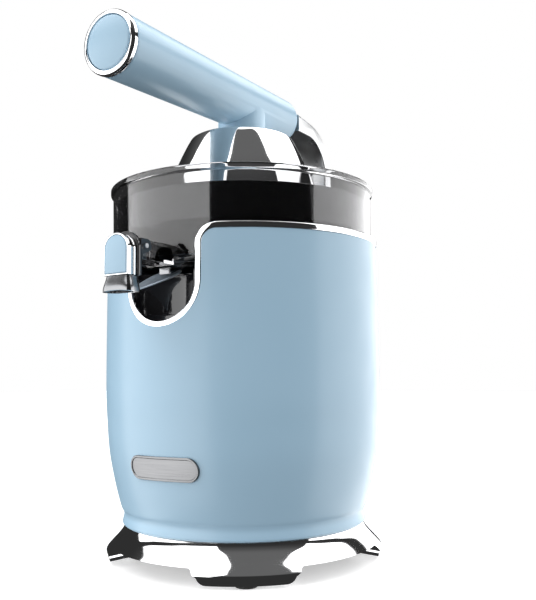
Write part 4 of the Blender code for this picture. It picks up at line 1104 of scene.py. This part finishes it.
def make_nozzle(rear):
    """The flared lip below the hood: rounded rectangles that widen and lean forward to the mouth."""
    top = high("spout_nozzle").z
    bottom = low("spout_nozzle").z
    front = front_y("spout_nozzle")
    rings = [  # share of the way down, half width, front
        (0.0, 9.2, front + 1.6),
        (0.12, 9.4, front + 1.4),
        (0.35, 10.0, front + 1.0),
        (0.6, 10.7, front + 0.5),
        (0.82, 11.1, front + 0.2),
        (1.0, 11.2, front + 0.1),
    ]
    steps = 80
    inner_rings = [(share, width - 2.2, forward + 2.2) for share, width, forward in reversed(rings)]

    def build(bm):
        loops = []
        for index, (share, width, forward) in enumerate(rings + inner_rings):
            back = rear if index < len(rings) else rear - 1.6
            z = top + (bottom - top) * share
            loop = []
            for step in range(steps):
                angle = 2 * math.pi * step / steps
                across, along = math.cos(angle), math.sin(angle)
                x = width * math.copysign(abs(across) ** 0.45, across)
                depth = (back - forward) / 2
                y = (back + forward) / 2 + depth * math.copysign(abs(along) ** 0.5, along)
                sag = 0.8 * (1 - (x / width) ** 2) * share * (along < 0)
                loop.append(bm.verts.new((x, y, z + sag)))
            loops.append(loop)
        for upper, lower in zip(loops, loops[1:] + loops[:1]):
            bridge(bm, upper, lower)

    nozzle = mesh_object("flared_nozzle", build)
    fit_piece(smooth(nozzle, 50), "dark_chrome", "spout", ["spout_nozzle"])


def make_lip():
    """The leaf-shaped drip lip below the outlet, crowned along its middle, with its pad under the bowl."""
    ceiling = high("drip_lip").z
    rear = Vector((0, -80.5, ceiling - 1.2))
    tip = Vector((0, -123.3, 175.8))
    steps = 40
    sections = 13
    up = (tip - rear).cross(Vector((-1, 0, 0))).normalized()

    def build(bm):
        rows = {1: [], -1: []}
        for i in range(steps + 1):
            share = i / steps
            half = lip_half_width(share)
            centre = rear + (tip - rear) * share
            crown = (0.9 + 1.7 * min(1, 5 * share)) * half / 10
            for face in (1, -1):
                row = []
                for j in range(sections):
                    across = -1 + 2 * j / (sections - 1)
                    rise = crown * (1 - across**2) + 0.3 * face
                    row.append(bm.verts.new(centre + up * rise + Vector((half * across, 0, 0))))
                rows[face].append(row)
        top, under = rows[1], rows[-1]
        for face in (top, under):
            for first, second in zip(face, face[1:]):
                bridge(bm, first, second, closed=False)
        for edge in (0, -1):
            bridge(bm, top[edge], under[edge], closed=False)
            bridge(bm, [row[edge] for row in top], [row[edge] for row in under], closed=False)

    leaf = smooth(mesh_object("drip_leaf", build), 60)
    # The leaf's blue-grey colour is a painted reflection of the blue housing.
    fit_piece(leaf, "lip_metal_painted_blue_reflection", nodes=["drip_lip"])
    pad_front, pad_rear = rear.y - 9.7, rear.y - 3.3
    outline = [(pad_front, ceiling), (pad_front, rear.z - 3.4)]
    outline += [(pad_rear, rear.z - 1), (pad_rear, ceiling)]
    pad = bevel(slab("lip_pad", outline, -4.7, 4.7, "X"), 0.5, 2)
    fit_piece(smooth(pad), "dark_chrome")


def lip_half_width(share):
    """Half width of the drip lip, from its rounded rear end (share 0) to its tip (share 1)."""
    widest = 0.2
    full, tip = 10, 1
    if share < widest:
        return full * math.sqrt(1 - (0.9 * (1 - share / widest)) ** 2)
    return tip + (full - tip) * (1 - ((share - widest) / (1 - widest)) ** 1.6)


# ---------- camera, floor and light


CAMERA_PLACE = Vector((0.30805, -0.47435, 0.1274))  # metres from the drive axis
CAMERA_BEARING = 33  # degrees that the view is turned about Z, from straight at the spout
YAW, PITCH, ROLL = 0.0322, 0.0926, -0.0102  # radians that the camera turns from that
LENS, SENSOR = 46.72, 36  # mm


def make_camera():
    """The camera stands low in front, to the object's left of the spout, and looks slightly up."""
    data = bpy.data.cameras.new("camera")
    data.lens = LENS
    data.sensor_width = SENSOR
    camera = bpy.data.objects.new("camera", data)
    bpy.context.scene.collection.objects.link(camera)
    level = math.cos(PITCH)
    right = Vector((math.cos(YAW), -math.sin(YAW), 0))
    forward = Vector((level * math.sin(YAW), level * math.cos(YAW), math.sin(PITCH)))
    up = right.cross(forward)
    turned_right = math.cos(ROLL) * right + math.sin(ROLL) * up
    turned_up = math.cos(ROLL) * up - math.sin(ROLL) * right
    to_world = Matrix.Rotation(math.radians(CAMERA_BEARING), 3, "Z")
    columns = [to_world @ v for v in (turned_right, turned_up, -forward)]
    turn = Matrix(columns).transposed().to_4x4()
    camera.matrix_world = Matrix.Translation(CAMERA_PLACE + Vector((0, AXIS_Y * MM, 0))) @ turn
    bpy.context.scene.camera = camera


def make_floor():
    """A wide pale floor that only the camera sees, so that nothing mirrors it."""
    reach = 4  # metres: the floor stays as it is made
    floor = slab("floor", rectangle(-reach, -reach, reach, reach), -0.02, 0, "Z")
    glow = {"Emission_Color": (1, 1, 1, 1), "Emission_Strength": 0.45}
    shader = Shader("pale_floor", (0.86, 0.86, 0.86), 0.55, **glow)
    shader.vary_colour(shader.noise(3, 2), (0.85, 0.85, 0.85), (0.87, 0.87, 0.87))
    nodes, links = shader.nodes, shader.links
    path = nodes.new("ShaderNodeLightPath")
    clear = nodes.new("ShaderNodeBsdfTransparent")
    mix = nodes.new("ShaderNodeMixShader")
    links.new(path.outputs["Is Camera Ray"], mix.inputs["Fac"])
    links.new(clear.outputs["BSDF"], mix.inputs[1])
    links.new(shader.principled.outputs["BSDF"], mix.inputs[2])
    links.new(mix.outputs["Shader"], nodes["Material Output"].inputs["Surface"])
    floor.data.materials.append(shader.material)


BRIGHT = 2.6  # radiance of the white panels that polished parts mirror
DIFFUSE_SHARE = 0.62  # how much of that falls on matt surfaces from above
DIFFUSE_BASE = 0.06  # even light on matt surfaces
DIFFUSE_SKY = 0.5  # more of it, from above only
SKY_EDGE = (-0.4, 0.7)  # Z of a direction where "above" starts and where it is full
DIM_LOW, DIM_RISE = 0.03, 0.10  # radiance of a dark part low down, and how much more high up
DIM_EDGE = (0.45, 0.9)  # Z where that rise starts and ends
OVERHEAD_EDGE = (0.975, 0.99)  # Z where the round bright panel overhead starts and is full
DARK_BANDS = ((17.7, 45.3, 1.0), (202, 42, 1.5))  # degrees: bearing from the camera's, half width, edge
DARK_SHELF = ((0.34, 0.37), (0.50, 0.53))  # Z where the dark shelf round the room starts and ends
DARK_FLOOR = (-0.62, -0.55)  # Z below which all is dark


def make_light():
    """A white room with dark strips for the polished parts to mirror. The camera sees it plain white."""
    bpy.context.scene.view_settings.view_transform = "Standard"
    world = bpy.data.worlds.new("studio")
    bpy.context.scene.world = world
    world.use_nodes = True
    nodes, links = world.node_tree.nodes, world.node_tree.links
    background = nodes["Background"]
    coordinates = nodes.new("ShaderNodeTexCoord").outputs["Generated"]
    split = nodes.new("ShaderNodeSeparateXYZ")
    links.new(coordinates, split.inputs["Vector"])

    def calculate(operation, first, second=None, third=None):
        """A sum of numbers and sockets."""
        node = nodes.new("ShaderNodeMath")
        node.operation = operation
        for socket, value in zip(node.inputs, (first, second, third)):
            if isinstance(value, (int, float)):
                socket.default_value = value
            elif value is not None:
                links.new(value, socket)
        return node.outputs["Value"]

    def step_between(value, start, end):
        """0 before start, 1 after end, smooth between."""
        node = added(nodes, "MapRange", From_Min=start, From_Max=end)
        node.interpolation_type = "SMOOTHSTEP"
        links.new(value, node.inputs["Value"])
        return node.outputs["Result"]

    bearing = calculate("ARCTAN2", split.outputs["Y"], split.outputs["X"])

    def band(centre, half_width, edge):
        """1 inside a band of bearings, given in degrees from the camera's own bearing, 0 outside."""
        angle = calculate("SUBTRACT", bearing, math.radians(CAMERA_BEARING - 90 + centre))
        aligned = calculate("COSINE", angle)
        outside = math.cos(math.radians(half_width + edge))
        inside = math.cos(math.radians(half_width - edge))
        return step_between(aligned, outside, inside)

    height = split.outputs["Z"]
    shelf_start, shelf_end = [step_between(height, *edge) for edge in DARK_SHELF]
    dark = calculate("SUBTRACT", 1, step_between(height, *DARK_FLOOR))
    for other in [calculate("SUBTRACT", shelf_start, shelf_end)] + [band(*figures) for figures in DARK_BANDS]:
        dark = calculate("MAXIMUM", dark, other)
    dim = calculate("MULTIPLY_ADD", step_between(height, *DIM_EDGE), DIM_RISE, DIM_LOW)
    level = calculate("MULTIPLY_ADD", dark, calculate("SUBTRACT", dim, BRIGHT), BRIGHT)
    overhead = step_between(height, *OVERHEAD_EDGE)
    level = calculate("MULTIPLY_ADD", overhead, calculate("SUBTRACT", BRIGHT, level), level)
    ray = nodes.new("ShaderNodeLightPath")
    upwards = step_between(height, *SKY_EDGE)
    panel_share = calculate("MULTIPLY_ADD", upwards, 0.6 * DIFFUSE_SHARE, 0.4 * DIFFUSE_SHARE)
    sky = calculate("MULTIPLY_ADD", upwards, DIFFUSE_SKY, DIFFUSE_BASE)
    spread = calculate("MULTIPLY_ADD", level, panel_share, sky)
    softened = calculate("SUBTRACT", spread, level)
    level = calculate("MULTIPLY_ADD", ray.outputs["Is Diffuse Ray"], softened, level)
    seen = calculate("SUBTRACT", 1, ray.outputs["Is Camera Ray"])
    strength = calculate("MULTIPLY_ADD", seen, calculate("SUBTRACT", level, 1.0), 1.0)
    links.new(strength, background.inputs["Strength"])
    background.inputs["Color"].default_value = (1, 1, 1, 1)


# ---------- assembly

make_camera()
make_floor()
make_light()
make_shell()
make_trim()
make_badge()
make_base()
make_feet()
make_basin()
make_bowl()
make_strainer()
make_reamer()
make_spring()
make_grip()
make_grip_end()
make_arm()
make_hinge()
make_dome()
make_spout()
make_lip()
